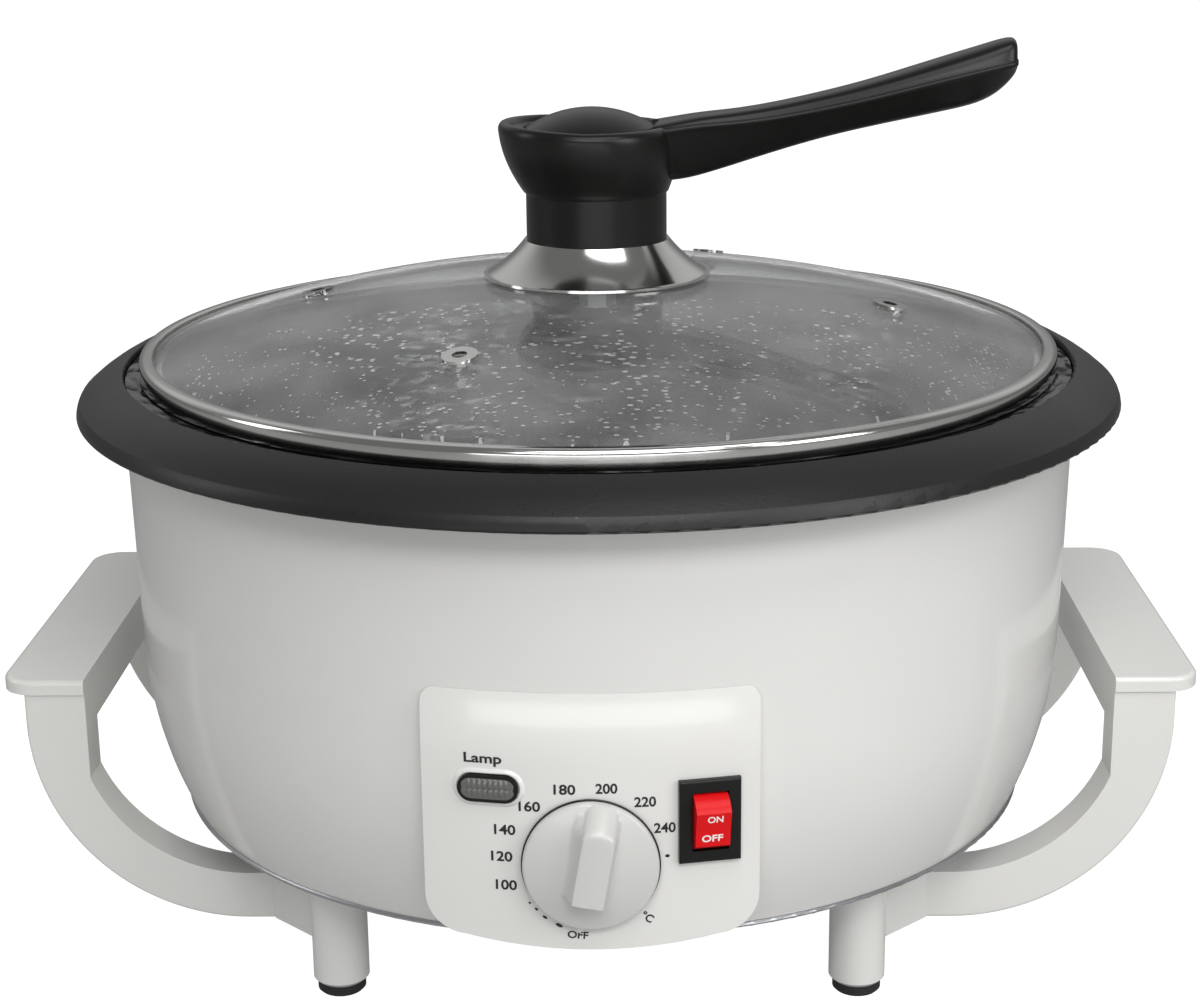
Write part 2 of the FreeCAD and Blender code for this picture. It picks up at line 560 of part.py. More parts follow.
class SubPart:
    """One PartDesign body, built feature by feature."""

    cuts = []

    def __init__(self, label):
        self.body = document.addObject("PartDesign::Body", label)
        self.body.Label = label

    def _origin(self, role):
        for feature in self.body.Origin.OriginFeatures:
            if feature.Role == role:
                return feature
        raise ValueError("no origin feature %s" % role)

    def sketch(self, plane, *loops, across=0.0, up=0.0, off=0.0, spin=0.0, open_path=False):
        """A sketch on XY, XZ or YZ, its origin moved across, up or off that plane and spun."""
        sketch = self.body.newObject("Sketcher::SketchObject", "%s_outline" % self.body.Name)
        sketch.AttachmentSupport = [(self._origin(plane + "_Plane"), "")]
        sketch.MapMode = "FlatFace"
        across, up, off, spin = (as_size(size) for size in (across, up, off, spin))
        sketch.AttachmentOffset = Placement(Vector(across.value, up.value, off.value),
                                            Rotation(Vector(0, 0, 1), spin.value))
        for path, size in (("Base.x", across), ("Base.y", up), ("Base.z", off),
                           ("Rotation.Angle", spin)):
            bind(sketch, "AttachmentOffset.%s" % path, size)
        for loop in loops:
            if loop[0] == "circle":
                draw_circle(sketch, *loop[1:])
            else:
                draw_loop(sketch, loop, closed=not open_path)
        return sketch

    def _feature(self, kind, word, profile):
        feature = self.body.newObject("PartDesign::" + kind, "%s_%s" % (self.body.Name, word))
        feature.Profile = profile
        if word in ("pocket", "groove"):
            SubPart.cuts.append(feature)
        return feature

    def pad(self, profile, length, backwards=False, both_ways=False):
        feature = self._feature("Pad", "pad", profile)
        self._extent(feature, length, backwards, both_ways)
        return feature

    def pocket(self, profile, length, backwards=False, both_ways=False):
        feature = self._feature("Pocket", "pocket", profile)
        self._extent(feature, length, backwards, both_ways)
        return feature

    def _extent(self, feature, length, backwards, both_ways):
        length = as_size(length)
        feature.Length = length.value
        bind(feature, "Length", length)
        feature.Reversed = backwards
        if both_ways:
            feature.SideType = "Symmetric"

    def turn(self, profile, angle=360.0, axis="V_Axis", both_ways=False):
        """Revolve the profile about an axis of its sketch."""
        return self._turned("Revolution", "revolution", profile, angle, axis, both_ways)

    def groove(self, profile, angle=360.0, axis="V_Axis"):
        """Turn the profile away."""
        return self._turned("Groove", "groove", profile, angle, axis, False)

    def _turned(self, kind, word, profile, angle, axis, both_ways):
        feature = self._feature(kind, word, profile)
        feature.ReferenceAxis = (profile, [axis])
        angle = as_size(angle)
        feature.Angle = angle.value
        bind(feature, "Angle", angle)
        feature.Midplane = both_ways
        return feature

    def pattern(self, originals, count, angle=360.0):
        """Copies of features around the vertical axis."""
        name = "%s_pattern" % self.body.Name
        feature = self.body.newObject("PartDesign::PolarPattern", name)
        feature.Originals = list(originals)
        feature.Axis = (self._origin("Z_Axis"), [""])
        feature.Angle = angle
        count = as_size(count)
        feature.Occurrences = int(count.value)
        bind(feature, "Occurrences", count)
        self.body.Tip = feature
        return feature

    def mirror(self, originals, plane):
        """A mirror image of features across an origin plane."""
        name = "%s_mirror" % self.body.Name
        feature = self.body.newObject("PartDesign::Mirrored", name)
        feature.Originals = list(originals)
        feature.MirrorPlane = (self._origin(plane + "_Plane"), [""])
        self.body.Tip = feature
        return feature

    def loft(self, profiles):
        feature = self._feature("AdditiveLoft", "loft", profiles[0])
        feature.Sections = profiles[1:]
        return feature

    def pipe(self, profile, path):
        feature = self._feature("AdditivePipe", "pipe", profile)
        feature.Spine = (path, [])
        return feature

    def round_edges(self, chosen, radius, kind="Fillet"):
        """Round or chamfer the edges of the last feature that a test picks."""
        document.recompute()
        base = self.body.Tip
        names = ["Edge%d" % number for number, edge in enumerate(base.Shape.Edges, start=1)
                 if chosen(edge)]
        if not names:
            raise ValueError("%s: no edge to round" % self.body.Label)
        feature = self.body.newObject("PartDesign::" + kind,
                                      "%s_%s" % (self.body.Name, kind.lower()))
        feature.Base = (base, names)
        radius = as_size(radius)
        if kind == "Fillet":
            feature.Radius = radius.value
            bind(feature, "Radius", radius)
        else:
            feature.Size = radius.value
            bind(feature, "Size", radius)
        return feature

    def swing(self, angle):
        """Turn the finished piece about the vertical axis."""
        self.body.Placement = Placement(Vector(), Rotation(Vector(0, 0, 1), angle.value))
        bind(self.body, "Placement.Rotation.Angle", angle)


sub_parts = []


def keep(thing):
    """List an object as one of the finished sub-parts."""
    sub_parts.append(thing)
    return thing


def mirrored(source, label, normal):
    """A mirror image of a finished piece across a plane through the vertical axis."""
    image = document.addObject("Part::Mirroring", label)
    image.Label = label
    image.Source = source
    image.Normal = normal
    return keep(image)


def cut(label, base, tool):
    """One shape less another."""
    result = document.addObject("Part::Cut", label)
    result.Label = label
    result.Base = base
    result.Tool = tool
    return result


ACROSS = Vector(1, 0, 0)
ALONG = Vector(0, 1, 0)

# ---------------------------------------------------------------- radii that pieces share

bowl_foot = s.bowl_waist_radius - s.bowl_foot_taper
bowl_mouth = s.bowl_waist_radius + s.bowl_mouth_flare
gland_face = s.bowl_waist_radius - s.gland_boss_inset
panel_face = s.bowl_waist_radius + s.panel_standoff
rim_outer = bowl_mouth + s.rim_overhang
rim_inner = bowl_mouth - s.rim_mouth_inset
pan_mouth = rim_inner - s.pan_flange_width
pan_foot = pan_mouth - s.pan_taper
element_ring = pan_foot - s.element_inset
reflector_foot = element_ring + s.reflector_margin
reflector_rim = reflector_foot + s.reflector_flare
post_circle = reflector_foot - s.post_inset
long_arm_reach = pan_foot - s.long_arm_gap
short_arm_reach = long_arm_reach * s.short_arm_share
lid_outer = pan_mouth + s.lid_overlap
band_skirt = pan_mouth - s.band_skirt_play
vent_circle = lid_outer - s.vent_inset
leg_across = (bowl_foot - s.leg_inset) * sine(s.leg_angle)
leg_along = (bowl_foot - s.leg_inset) * cosine(s.leg_angle)

# ---------------------------------------------------------------- levels that pieces share

bowl_top = s.base_height + s.bowl_height
ledge_top = bowl_top + s.rim_ledge_thickness
flange_top = ledge_top + s.pan_wall
rim_top = ledge_top + s.rim_lip_rise
pan_floor = flange_top - s.pan_depth
pan_under = pan_floor - s.pan_wall
bowl_waist = s.base_height + s.bowl_waist_rise
plate_under = s.base_height - s.base_thickness
reflector_floor = pan_under - s.reflector_depth
motor_top = reflector_floor - s.motor_drop
screw_hole = s.screw_radius + s.screw_clearance
bowl_screw_circle = bowl_foot - s.boss_inset
bracket_screw_reach = s.bracket_half_length + s.bracket_foot_length / 2


def screws(label, places, head_level, length, heads_up=True):
    """Small pan-head screws at a list of places, as one group of separate solids."""
    part = SubPart(label)
    circles = [ring(across, along, s.screw_radius) for across, along in places]
    heads = [ring(across, along, s.screw_head_radius) for across, along in places]
    part.pad(part.sketch("XY", *circles, off=head_level), length, backwards=heads_up)
    part.pad(part.sketch("XY", *heads, off=head_level), s.screw_head_height, backwards=not heads_up)
    return keep(part.body)


# ---------------------------------------------------------------- bowl, base plate and rim ring

def bowl_curve(grow=0.0):
    """The outside of the bowl from its lower edge to its mouth, moved out by a distance."""
    return [
        at(bowl_foot + grow, s.base_height, left=s.bowl_curve_radius),
        at(s.bowl_waist_radius + grow, bowl_waist),
        at(bowl_mouth + grow, bowl_top),
    ]


def make_bowl():
    """The white bowl: a turned shell with a flange below, screw bosses, window and gland boss."""
    part = SubPart("bowl_housing")
    wall = s.bowl_wall
    inner_foot = bowl_foot - s.bowl_flange_width
    section = bowl_curve() + [
        at(bowl_mouth - wall, bowl_top),
        at(s.bowl_waist_radius - wall, bowl_waist, right=s.bowl_curve_radius),
        at(bowl_foot - wall, s.base_height + wall),
        at(inner_foot, s.base_height + wall),
        at(inner_foot, s.base_height),
    ]
    part.turn(part.sketch("XZ", section))
    boss = part.pad(part.sketch("XY", ring(bowl_screw_circle, 0, s.boss_radius), off=s.base_height),
                    s.boss_height)
    part.pattern([boss], 4)
    gland_level = s.base_height + s.gland_rise
    part.pad(part.sketch("XZ", ring(0, gland_level, s.gland_boss_radius), off=-gland_face),
             s.gland_boss_depth)
    part.pocket(part.sketch("XZ", ring(0, gland_level, s.gland_boss_radius),
                            off=-gland_face), s.gland_boss_depth)
    part.pocket(part.sketch("XZ", ring(0, gland_level, s.gland_sleeve_radius + s.fit_clearance)),
                rim_outer)
    half = s.window_width / 2
    low = s.base_height + s.window_rise
    part.pocket(part.sketch("XZ", box_loop(-half, half, low, low + s.window_height)),
                rim_outer, backwards=True)
    hole = part.pocket(part.sketch("XY", ring(bowl_screw_circle, 0, screw_hole),
                                   off=s.base_height), s.boss_height - s.blind_end,
                       backwards=True)
    part.pattern([hole], 4)
    return keep(part.body)


def make_base_plate():
    """The vented plate that closes the bowl from below and carries legs, motor and posts."""
    part = SubPart("base_plate")
    edge = bowl_foot + s.base_lip
    corner = s.base_thickness / 2
    part.turn(part.sketch("XZ", [
        at(0, plate_under),
        at(edge - corner, plate_under, left=corner),
        at(edge, plate_under + corner, left=corner),
        at(edge - corner, s.base_height),
        at(0, s.base_height),
    ]))
    middle = s.vent_inner_radius + s.vent_length / 2
    slot = part.pocket(
        part.sketch("XY", slot_loop(s.vent_length / 2, s.vent_half_width, across=middle),
                    off=s.base_height), s.base_thickness)
    part.pattern([slot], s.vent_count)
    hole = part.pocket(part.sketch("XY", ring(bowl_screw_circle, 0, screw_hole),
                                   off=s.base_height), s.base_thickness)
    part.pattern([hole], 4)
    holes = [ring(x * leg_across, y * leg_along, screw_hole) for x in (1, -1) for y in (1, -1)]
    holes += [ring(x * bracket_screw_reach, 0, screw_hole) for x in (1, -1)]
    part.pocket(part.sketch("XY", *holes, off=s.base_height), s.base_thickness)
    return keep(part.body)


def make_rim_ring():
    """The black ring: crowned top, hanging nose, ledge for the pan and socket for the bowl."""
    part = SubPart("rim_ring")
    nose_low = rim_top - s.rim_nose_drop
    nose_top = nose_low + s.rim_nose_height
    wall, edge = s.rim_wall, s.rim_edge
    ledge_inner = pan_mouth + s.pan_wall + s.pan_seat_play
    socket_inner = bowl_mouth + s.socket_clearance
    socket_low = bowl_top - s.rim_socket_depth
    outer = rim_outer
    section = [
        at(ledge_inner, bowl_top),
        at(socket_inner, bowl_top),
        at(socket_inner, socket_low),
        at(socket_inner + wall, socket_low),
        at(socket_inner + wall, ledge_top, right=s.rim_crown_radius - wall),
        at(outer - wall, nose_low + wall),
        at(outer - wall, nose_low),
        at(outer - edge, nose_low, left=edge),
        at(outer, nose_low + edge, left=s.rim_nose_radius),
        at(outer - s.rim_nose_inset, nose_top, left=s.rim_crown_radius),
        at(rim_inner + edge, rim_top, left=edge),
        at(rim_inner, rim_top - edge),
        at(rim_inner, ledge_top),
        at(ledge_inner, ledge_top),
    ]
    part.turn(part.sketch("XZ", section))
    return keep(part.body)


def make_bowl_screws():
    places = [(bowl_screw_circle * x, bowl_screw_circle * y)
              for x, y in ((1, 0), (-1, 0), (0, 1), (0, -1))]
    length = s.base_thickness + s.boss_height - s.blind_end * 2
    screws("bowl_screws", places, plate_under, length, heads_up=False)


# ---------------------------------------------------------------- roasting pan and drive

def make_pan():
    """The spun aluminium pan with its flange and the centre tube for the shaft."""
    part = SubPart("roasting_pan")
    bore = s.shaft_radius + s.running_clearance + s.bush_wall + s.fit_clearance
    wall = s.pan_wall
    flange = rim_inner - s.pan_flange_play
    flare = (pan_mouth - pan_foot) / s.pan_depth
    slant = root(flare * flare + 1)
    corner = s.pan_corner
    outer_corner = corner + wall
    rise = corner - corner * flare / slant
    bend = pan_foot + flare * rise - corner / slant
    section = [
        at(bore, pan_under),
        at(bend, pan_under, left=outer_corner),
        at(bend + outer_corner / slant, pan_floor + corner - outer_corner * flare / slant),
        at(pan_mouth + wall * slant - wall * flare, ledge_top),
        at(flange, ledge_top),
        at(flange, flange_top),
        at(pan_mouth, flange_top),
        at(bend + corner / slant, pan_floor + rise, right=corner),
        at(bend, pan_floor),
        at(s.tube_radius, pan_floor),
        at(s.tube_radius - s.tube_taper, pan_floor + s.tube_rise),
        at(bore, pan_floor + s.tube_rise),
    ]
    part.turn(part.sketch("XZ", section))
    return keep(part.body)


def make_bush():
    """The flanged bush in the centre tube."""
    part = SubPart("shaft_bush")
    inner = s.shaft_radius + s.running_clearance
    outer = inner + s.bush_wall
    section = [
        at(inner, pan_under - s.bush_flange_thickness),
        at(outer + s.bush_flange_width, pan_under - s.bush_flange_thickness),
        at(outer + s.bush_flange_width, pan_under),
        at(outer, pan_under),
        at(outer, pan_floor + s.tube_rise),
        at(inner, pan_floor + s.tube_rise),
    ]
    part.turn(part.sketch("XZ", section))
    return keep(part.body)


shaft_top = pan_floor + s.shaft_rise
shaft_bottom = motor_top + s.motor_boss_height - s.shaft_seat


def make_motor():
    """The sealed geared motor: can, gearbox boss with the shaft's bore, and two screw ears."""
    part = SubPart("gear_motor")
    bore = s.shaft_radius + s.running_clearance
    boss_top = motor_top + s.motor_boss_height
    low = s.base_height + s.motor_floor_gap
    section = [
        at(0, low),
        at(s.motor_radius - s.motor_edge, low, left=s.motor_edge),
        at(s.motor_radius, low + s.motor_edge),
        at(s.motor_radius, motor_top),
        at(s.motor_boss_radius, motor_top),
        at(s.motor_boss_radius, boss_top),
        at(bore, boss_top),
        at(bore, shaft_bottom - s.fit_clearance),
        at(0, shaft_bottom - s.fit_clearance),
    ]
    part.turn(part.sketch("XZ", section))
    width = s.motor_ear_half_width
    ears = [slot_loop(s.motor_ear_half_length, width, across=(s.motor_ear_reach - width / 2) * x)
            for x in (1, -1)]
    holes = [ring(x * s.motor_ear_reach, 0, screw_hole) for x in (1, -1)]
    part.pad(part.sketch("XY", *ears, off=motor_top), s.motor_ear_thickness, backwards=True)
    part.pocket(part.sketch("XY", *holes, off=motor_top), s.motor_ear_thickness)
    return keep(part.body)


def make_motor_bracket():
    """The folded bridge over the motor, screwed to the base plate."""
    part = SubPart("motor_bracket")
    reach, sheet = s.bracket_half_length, s.bracket_thickness
    foot = reach + s.bracket_foot_length
    top = motor_top + sheet
    low = s.base_height
    section = [
        at(-foot, low), at(-reach + sheet, low), at(-reach + sheet, motor_top),
        at(reach - sheet, motor_top), at(reach - sheet, low), at(foot, low),
        at(foot, low + sheet), at(reach, low + sheet), at(reach, top),
        at(-reach, top), at(-reach, low + sheet), at(-foot, low + sheet),
    ]
    part.pad(part.sketch("XZ", section), s.bracket_half_width * 2, both_ways=True)
    holes = [ring(0, 0, s.motor_boss_radius + s.bracket_hole_play)]
    holes += [ring(x * s.motor_ear_reach, 0, screw_hole) for x in (1, -1)]
    part.pocket(part.sketch("XY", *holes, off=top), sheet)
    feet = [ring(x * bracket_screw_reach, 0, screw_hole) for x in (1, -1)]
    part.pocket(part.sketch("XY", *feet, off=low + sheet), sheet)
    return keep(part.body)


def make_drive_screws():
    places = [(s.motor_ear_reach * x, as_size(0)) for x in (1, -1)]
    length = s.bracket_thickness + s.motor_ear_thickness + s.screw_overrun
    screws("motor_screws", places, motor_top + s.bracket_thickness, length)
    places = [(bracket_screw_reach * x, as_size(0)) for x in (1, -1)]
    screws("bracket_screws", places, s.base_height + s.bracket_thickness,
           s.bracket_thickness + s.base_thickness + s.screw_overrun)


def make_shaft():
    """The stirrer shaft, flattened at its top end."""
    part = SubPart("drive_shaft")
    section = [
        at(0, shaft_bottom), at(s.shaft_radius, shaft_bottom),
        at(s.shaft_radius, shaft_top - s.shaft_edge),
        at(s.shaft_radius - s.shaft_edge, shaft_top), at(0, shaft_top),
    ]
    part.turn(part.sketch("XZ", section))
    flat = s.shaft_radius - s.shaft_flat_depth
    away = box_loop(flat, s.shaft_radius * 2, -s.shaft_radius, s.shaft_radius)
    part.pocket(part.sketch("XY", away, off=shaft_top), s.shaft_flat_length)
    return keep(part.body)


hub_low = pan_floor + s.hub_skirt_gap
hub_top = pan_floor + s.hub_rise
arm_root = pan_floor + s.arm_root_rise
arm_low = pan_floor + s.arm_floor_gap + s.arm_radius


def make_stirrer_hub():
    """The moulded hub: a bell over the pan's tube, a flatted bore and a finger cap."""
    part = SubPart("stirrer_hub")
    cavity = s.tube_radius + s.hub_skirt_gap
    cavity_top = pan_floor + s.tube_rise + s.hub_skirt_gap
    bore = s.shaft_radius + s.hub_play
    bore_top = shaft_top + s.hub_seat_gap
    cap_half = s.hub_cap_height / 2
    cap_flare = s.hub_cap_radius - s.hub_neck_radius
    part.turn(part.sketch("XZ", [
        at(cavity, hub_low),
        at(s.hub_foot_radius, hub_low),
        at(s.hub_foot_radius, hub_low + s.hub_skirt_height, right=s.hub_waist_radius),
        at(s.hub_neck_radius, hub_top - s.hub_cap_height - cap_flare),
        at(s.hub_cap_radius, hub_top - s.hub_cap_height),
        at(s.hub_cap_radius, hub_top - cap_half, left=s.hub_cap_radius),
        at(s.hub_cap_radius - cap_half, hub_top),
        at(0, hub_top),
        at(0, bore_top),
        at(bore, bore_top),
        at(bore, cavity_top),
        at(cavity, cavity_top),
    ]))
    flat = s.shaft_radius - s.shaft_flat_depth + s.hub_play
    chord = root(bore * bore - flat * flat)
    key_low = shaft_top - s.shaft_flat_length + s.hub_seat_gap
    part.pad(part.sketch("XY", box_loop(flat, bore, -chord, chord), off=key_low),
             bore_top - key_low)
    seat = s.arm_radius + s.fit_clearance
    inner = s.hub_foot_radius - s.arm_seat - s.fit_clearance
    for backwards in (False, True):
        side = -1 if backwards else 1
        part.pocket(part.sketch("YZ", ring(0, arm_root, seat), off=inner * side),
                    s.hub_foot_radius, backwards=not backwards)
    return keep(part.body)


def make_arm(label, reach, side):
    """A stirrer arm of bent wire: out of the hub, down to the floor, along it and up at its end."""
    part = SubPart(label)
    root_x = (s.hub_foot_radius - s.arm_seat) * side
    bend = s.arm_bend
    shoulder = (s.hub_foot_radius + s.arm_shoulder) * side
    landing = (s.hub_foot_radius + s.arm_shoulder + s.arm_slope) * side
    heel = (reach - bend) * side
    tip = reach * side
    path = part.sketch("XZ", [
        at(root_x, arm_root), at(shoulder, arm_root), at(landing, arm_low),
        at(heel, arm_low, left=bend) if side > 0 else at(heel, arm_low, right=bend),
        at(tip, arm_low + bend), at(tip, arm_low + s.arm_tip_rise),
    ], open_path=True)
    profile = part.sketch("YZ", ring(0, arm_root, s.arm_radius), off=root_x)
    pipe = part.pipe(profile, path)
    pipe.Transition = "Round corner"
    return keep(part.body)


# ---------------------------------------------------------------- heater under the pan

element_level = pan_under - s.element_tube_radius - s.element_gap


def make_heater():
    """Ring element, its saddles, the dished reflector and the posts below it."""
    half = s.element_opening / 2
    ring_part = SubPart("heating_element")
    profile = ring_part.sketch("XZ", ring(element_ring, element_level, s.element_tube_radius))
    ring_part.turn(profile, angle=360 - s.element_opening)
    end_x = element_ring * cosine(s.element_opening)
    end_y = element_ring * sine(s.element_opening)
    ends = [ring(element_ring, 0, s.element_tube_radius),
            ring(end_x, -end_y, s.element_tube_radius)]
    low = reflector_floor - s.reflector_wall - s.element_end_drop
    ring_part.pad(ring_part.sketch("XY", *ends, off=low), element_level - low)
    pins = [ring(element_ring, 0, s.element_pin_radius),
            ring(end_x, -end_y, s.element_pin_radius)]
    ring_part.pad(ring_part.sketch("XY", *pins, off=low), s.element_pin_length, backwards=True)
    ring_part.swing(s.element_heading + half)
    keep(ring_part.body)

    dish = SubPart("heat_reflector")
    sheet = s.reflector_wall
    flange = reflector_rim + s.reflector_flange_width
    dish.turn(dish.sketch("XZ", [
        at(s.reflector_hole_radius, reflector_floor - sheet),
        at(reflector_foot, reflector_floor - sheet),
        at(reflector_rim + sheet, pan_under - sheet),
        at(flange, pan_under - sheet),
        at(flange, pan_under),
        at(reflector_rim, pan_under),
        at(reflector_foot - sheet, reflector_floor),
        at(s.reflector_hole_radius, reflector_floor),
    ]))
    hole = s.element_tube_radius + s.element_hole_play
    off_x = element_ring * sine(half)
    off_y = element_ring * cosine(half)
    dish.pocket(dish.sketch("XY", ring(off_x, off_y, hole), ring(-off_x, off_y, hole),
                            off=reflector_floor), sheet)
    keep(dish.body)

    saddle = SubPart("element_saddles")
    top = element_level - s.element_tube_radius / 2
    blank = box_loop(element_ring - s.saddle_half_width,
                     element_ring + s.saddle_half_width, reflector_floor, top)
    block = saddle.pad(saddle.sketch("XZ", blank), s.saddle_half_length * 2, both_ways=True)
    trough = saddle.groove(saddle.sketch("XZ", ring(element_ring, element_level,
                                                    s.element_tube_radius + s.fit_clearance)))
    saddle.pattern([block, trough], 3)
    saddle.swing(s.saddle_angle)
    keep(saddle.body)

    posts = SubPart("support_posts")
    post = posts.pad(posts.sketch("XY", ring(post_circle, 0, s.post_radius),
                                  off=s.base_height),
                     reflector_floor - s.reflector_wall - s.base_height)
    posts.pattern([post], 4)
    posts.swing(s.post_angle)
    keep(posts.body)


# ---------------------------------------------------------------- control panel

knob_level = s.base_height + s.knob_rise
panel_low = s.base_height + s.panel_rise
panel_top = panel_low + s.panel_height
switch_level = s.base_height + s.switch_rise
lamp_level = s.base_height + s.lamp_rise


# How far a cutting profile reaches past the piece that it cuts.
BEYOND = 20.0


def rounded_front(half, low, high, low_corner, high_corner):
    """A front outline with two lower and two upper corner radii; its lower edge is bowed."""
    sag, span = s.panel_sag, half - low_corner
    bow = (span * span + sag * sag) / (2 * sag)
    return [
        at(-span, low + sag, left=bow),
        at(span, low + sag, left=low_corner),
        at(half, low + sag + low_corner),
        at(half, high - high_corner, left=high_corner),
        at(half - high_corner, high),
        at(-half + high_corner, high, left=high_corner),
        at(-half, high - high_corner),
        at(-half, low + sag + low_corner, left=low_corner),
    ]


def panel_outside(inset):
    """What lies in front of the panel's face, to be turned away: the face, its sloping top and
    the bowl above. The inset moves the face back."""
    face = panel_face - inset
    far = panel_face + BEYOND * 2
    flare = s.bowl_mouth_flare * (panel_top - bowl_waist) / (bowl_top - bowl_waist)
    slope_end = s.bowl_waist_radius + flare + s.panel_seat_gap + s.panel_tip - inset
    step = face - slope_end
    swell = (step * step + s.panel_shoulder * s.panel_shoulder) / (2 * step)
    return [
        at(face, panel_low - BEYOND),
        at(far, panel_low - BEYOND),
        at(far, panel_top + BEYOND),
        at(slope_end, panel_top + BEYOND),
        at(slope_end, panel_top - inset, right=swell),
        at(face, panel_top - s.panel_shoulder - inset),
    ]


def panel_blank(label, inset):
    """A block with the panel's front outline, turned to its face."""
    part = SubPart(label)
    half = s.panel_width / 2 - inset
    outline = rounded_front(half, panel_low + inset, panel_top - inset,
                            s.panel_corner - inset, s.panel_top_corner - inset / 2)
    part.pad(part.sketch("XZ", outline), panel_face + BEYOND)
    part.groove(part.sketch("XZ", panel_outside(inset)))
    return part


def radial_cutter(label, outline, angle, reach):
    """A prism that points forwards and is swung sideways to its place on the panel."""
    part = SubPart(label)
    part.pad(part.sketch("XZ", outline, off=reach - BEYOND), BEYOND * 2)
    if angle is not None:
        part.swing(angle)
    return part.body


def make_panel():
    """The moulded panel: a shell between its face and the bowl, with openings for the controls."""
    shell = panel_blank("panel_shell", as_size(0))
    gap = s.panel_seat_gap
    bowl_side = [at(0, s.base_height - BEYOND), at(bowl_foot + gap, s.base_height - BEYOND)]
    bowl_side += bowl_curve(gap) + [at(0, bowl_top)]
    shell.groove(shell.sketch("XZ", bowl_side))
    hollow = panel_blank("panel_hollow", s.panel_wall)
    face = panel_face
    result = cut("panel_walls", shell.body, hollow.body)
    case_width = s.switch_width / 2 - s.switch_case_inset + s.fit_clearance
    case_height = s.switch_height / 2 - s.switch_case_inset + s.fit_clearance
    switch_hole = box_loop(-case_width, case_width, switch_level - case_height,
                           switch_level + case_height)
    lamp_hole = slot_loop(s.lamp_width / 2 - s.lamp_border + s.fit_clearance,
                          s.lamp_height / 2 - s.lamp_border + s.fit_clearance, up=lamp_level)
    spindle_hole = ring(0, knob_level, s.thermostat_neck_radius + s.fit_clearance)
    cutters = (
        radial_cutter("switch_opening", switch_hole, s.switch_angle, face),
        radial_cutter("lamp_opening", lamp_hole, -s.lamp_angle, face),
        radial_cutter("spindle_opening", spindle_hole, None, face),
    )
    for number, cutter in enumerate(cutters, start=1):
        last = number == len(cutters)
        result = cut("control_panel" if last else "panel_cut_%d" % number, result, cutter)
    return keep(result)


def in_front_face(reach):
    """A test for edges that lie in a plane in front of the bowl's axis."""
    return lambda edge: edge.BoundBox.YMax < TOUCH - reach.value


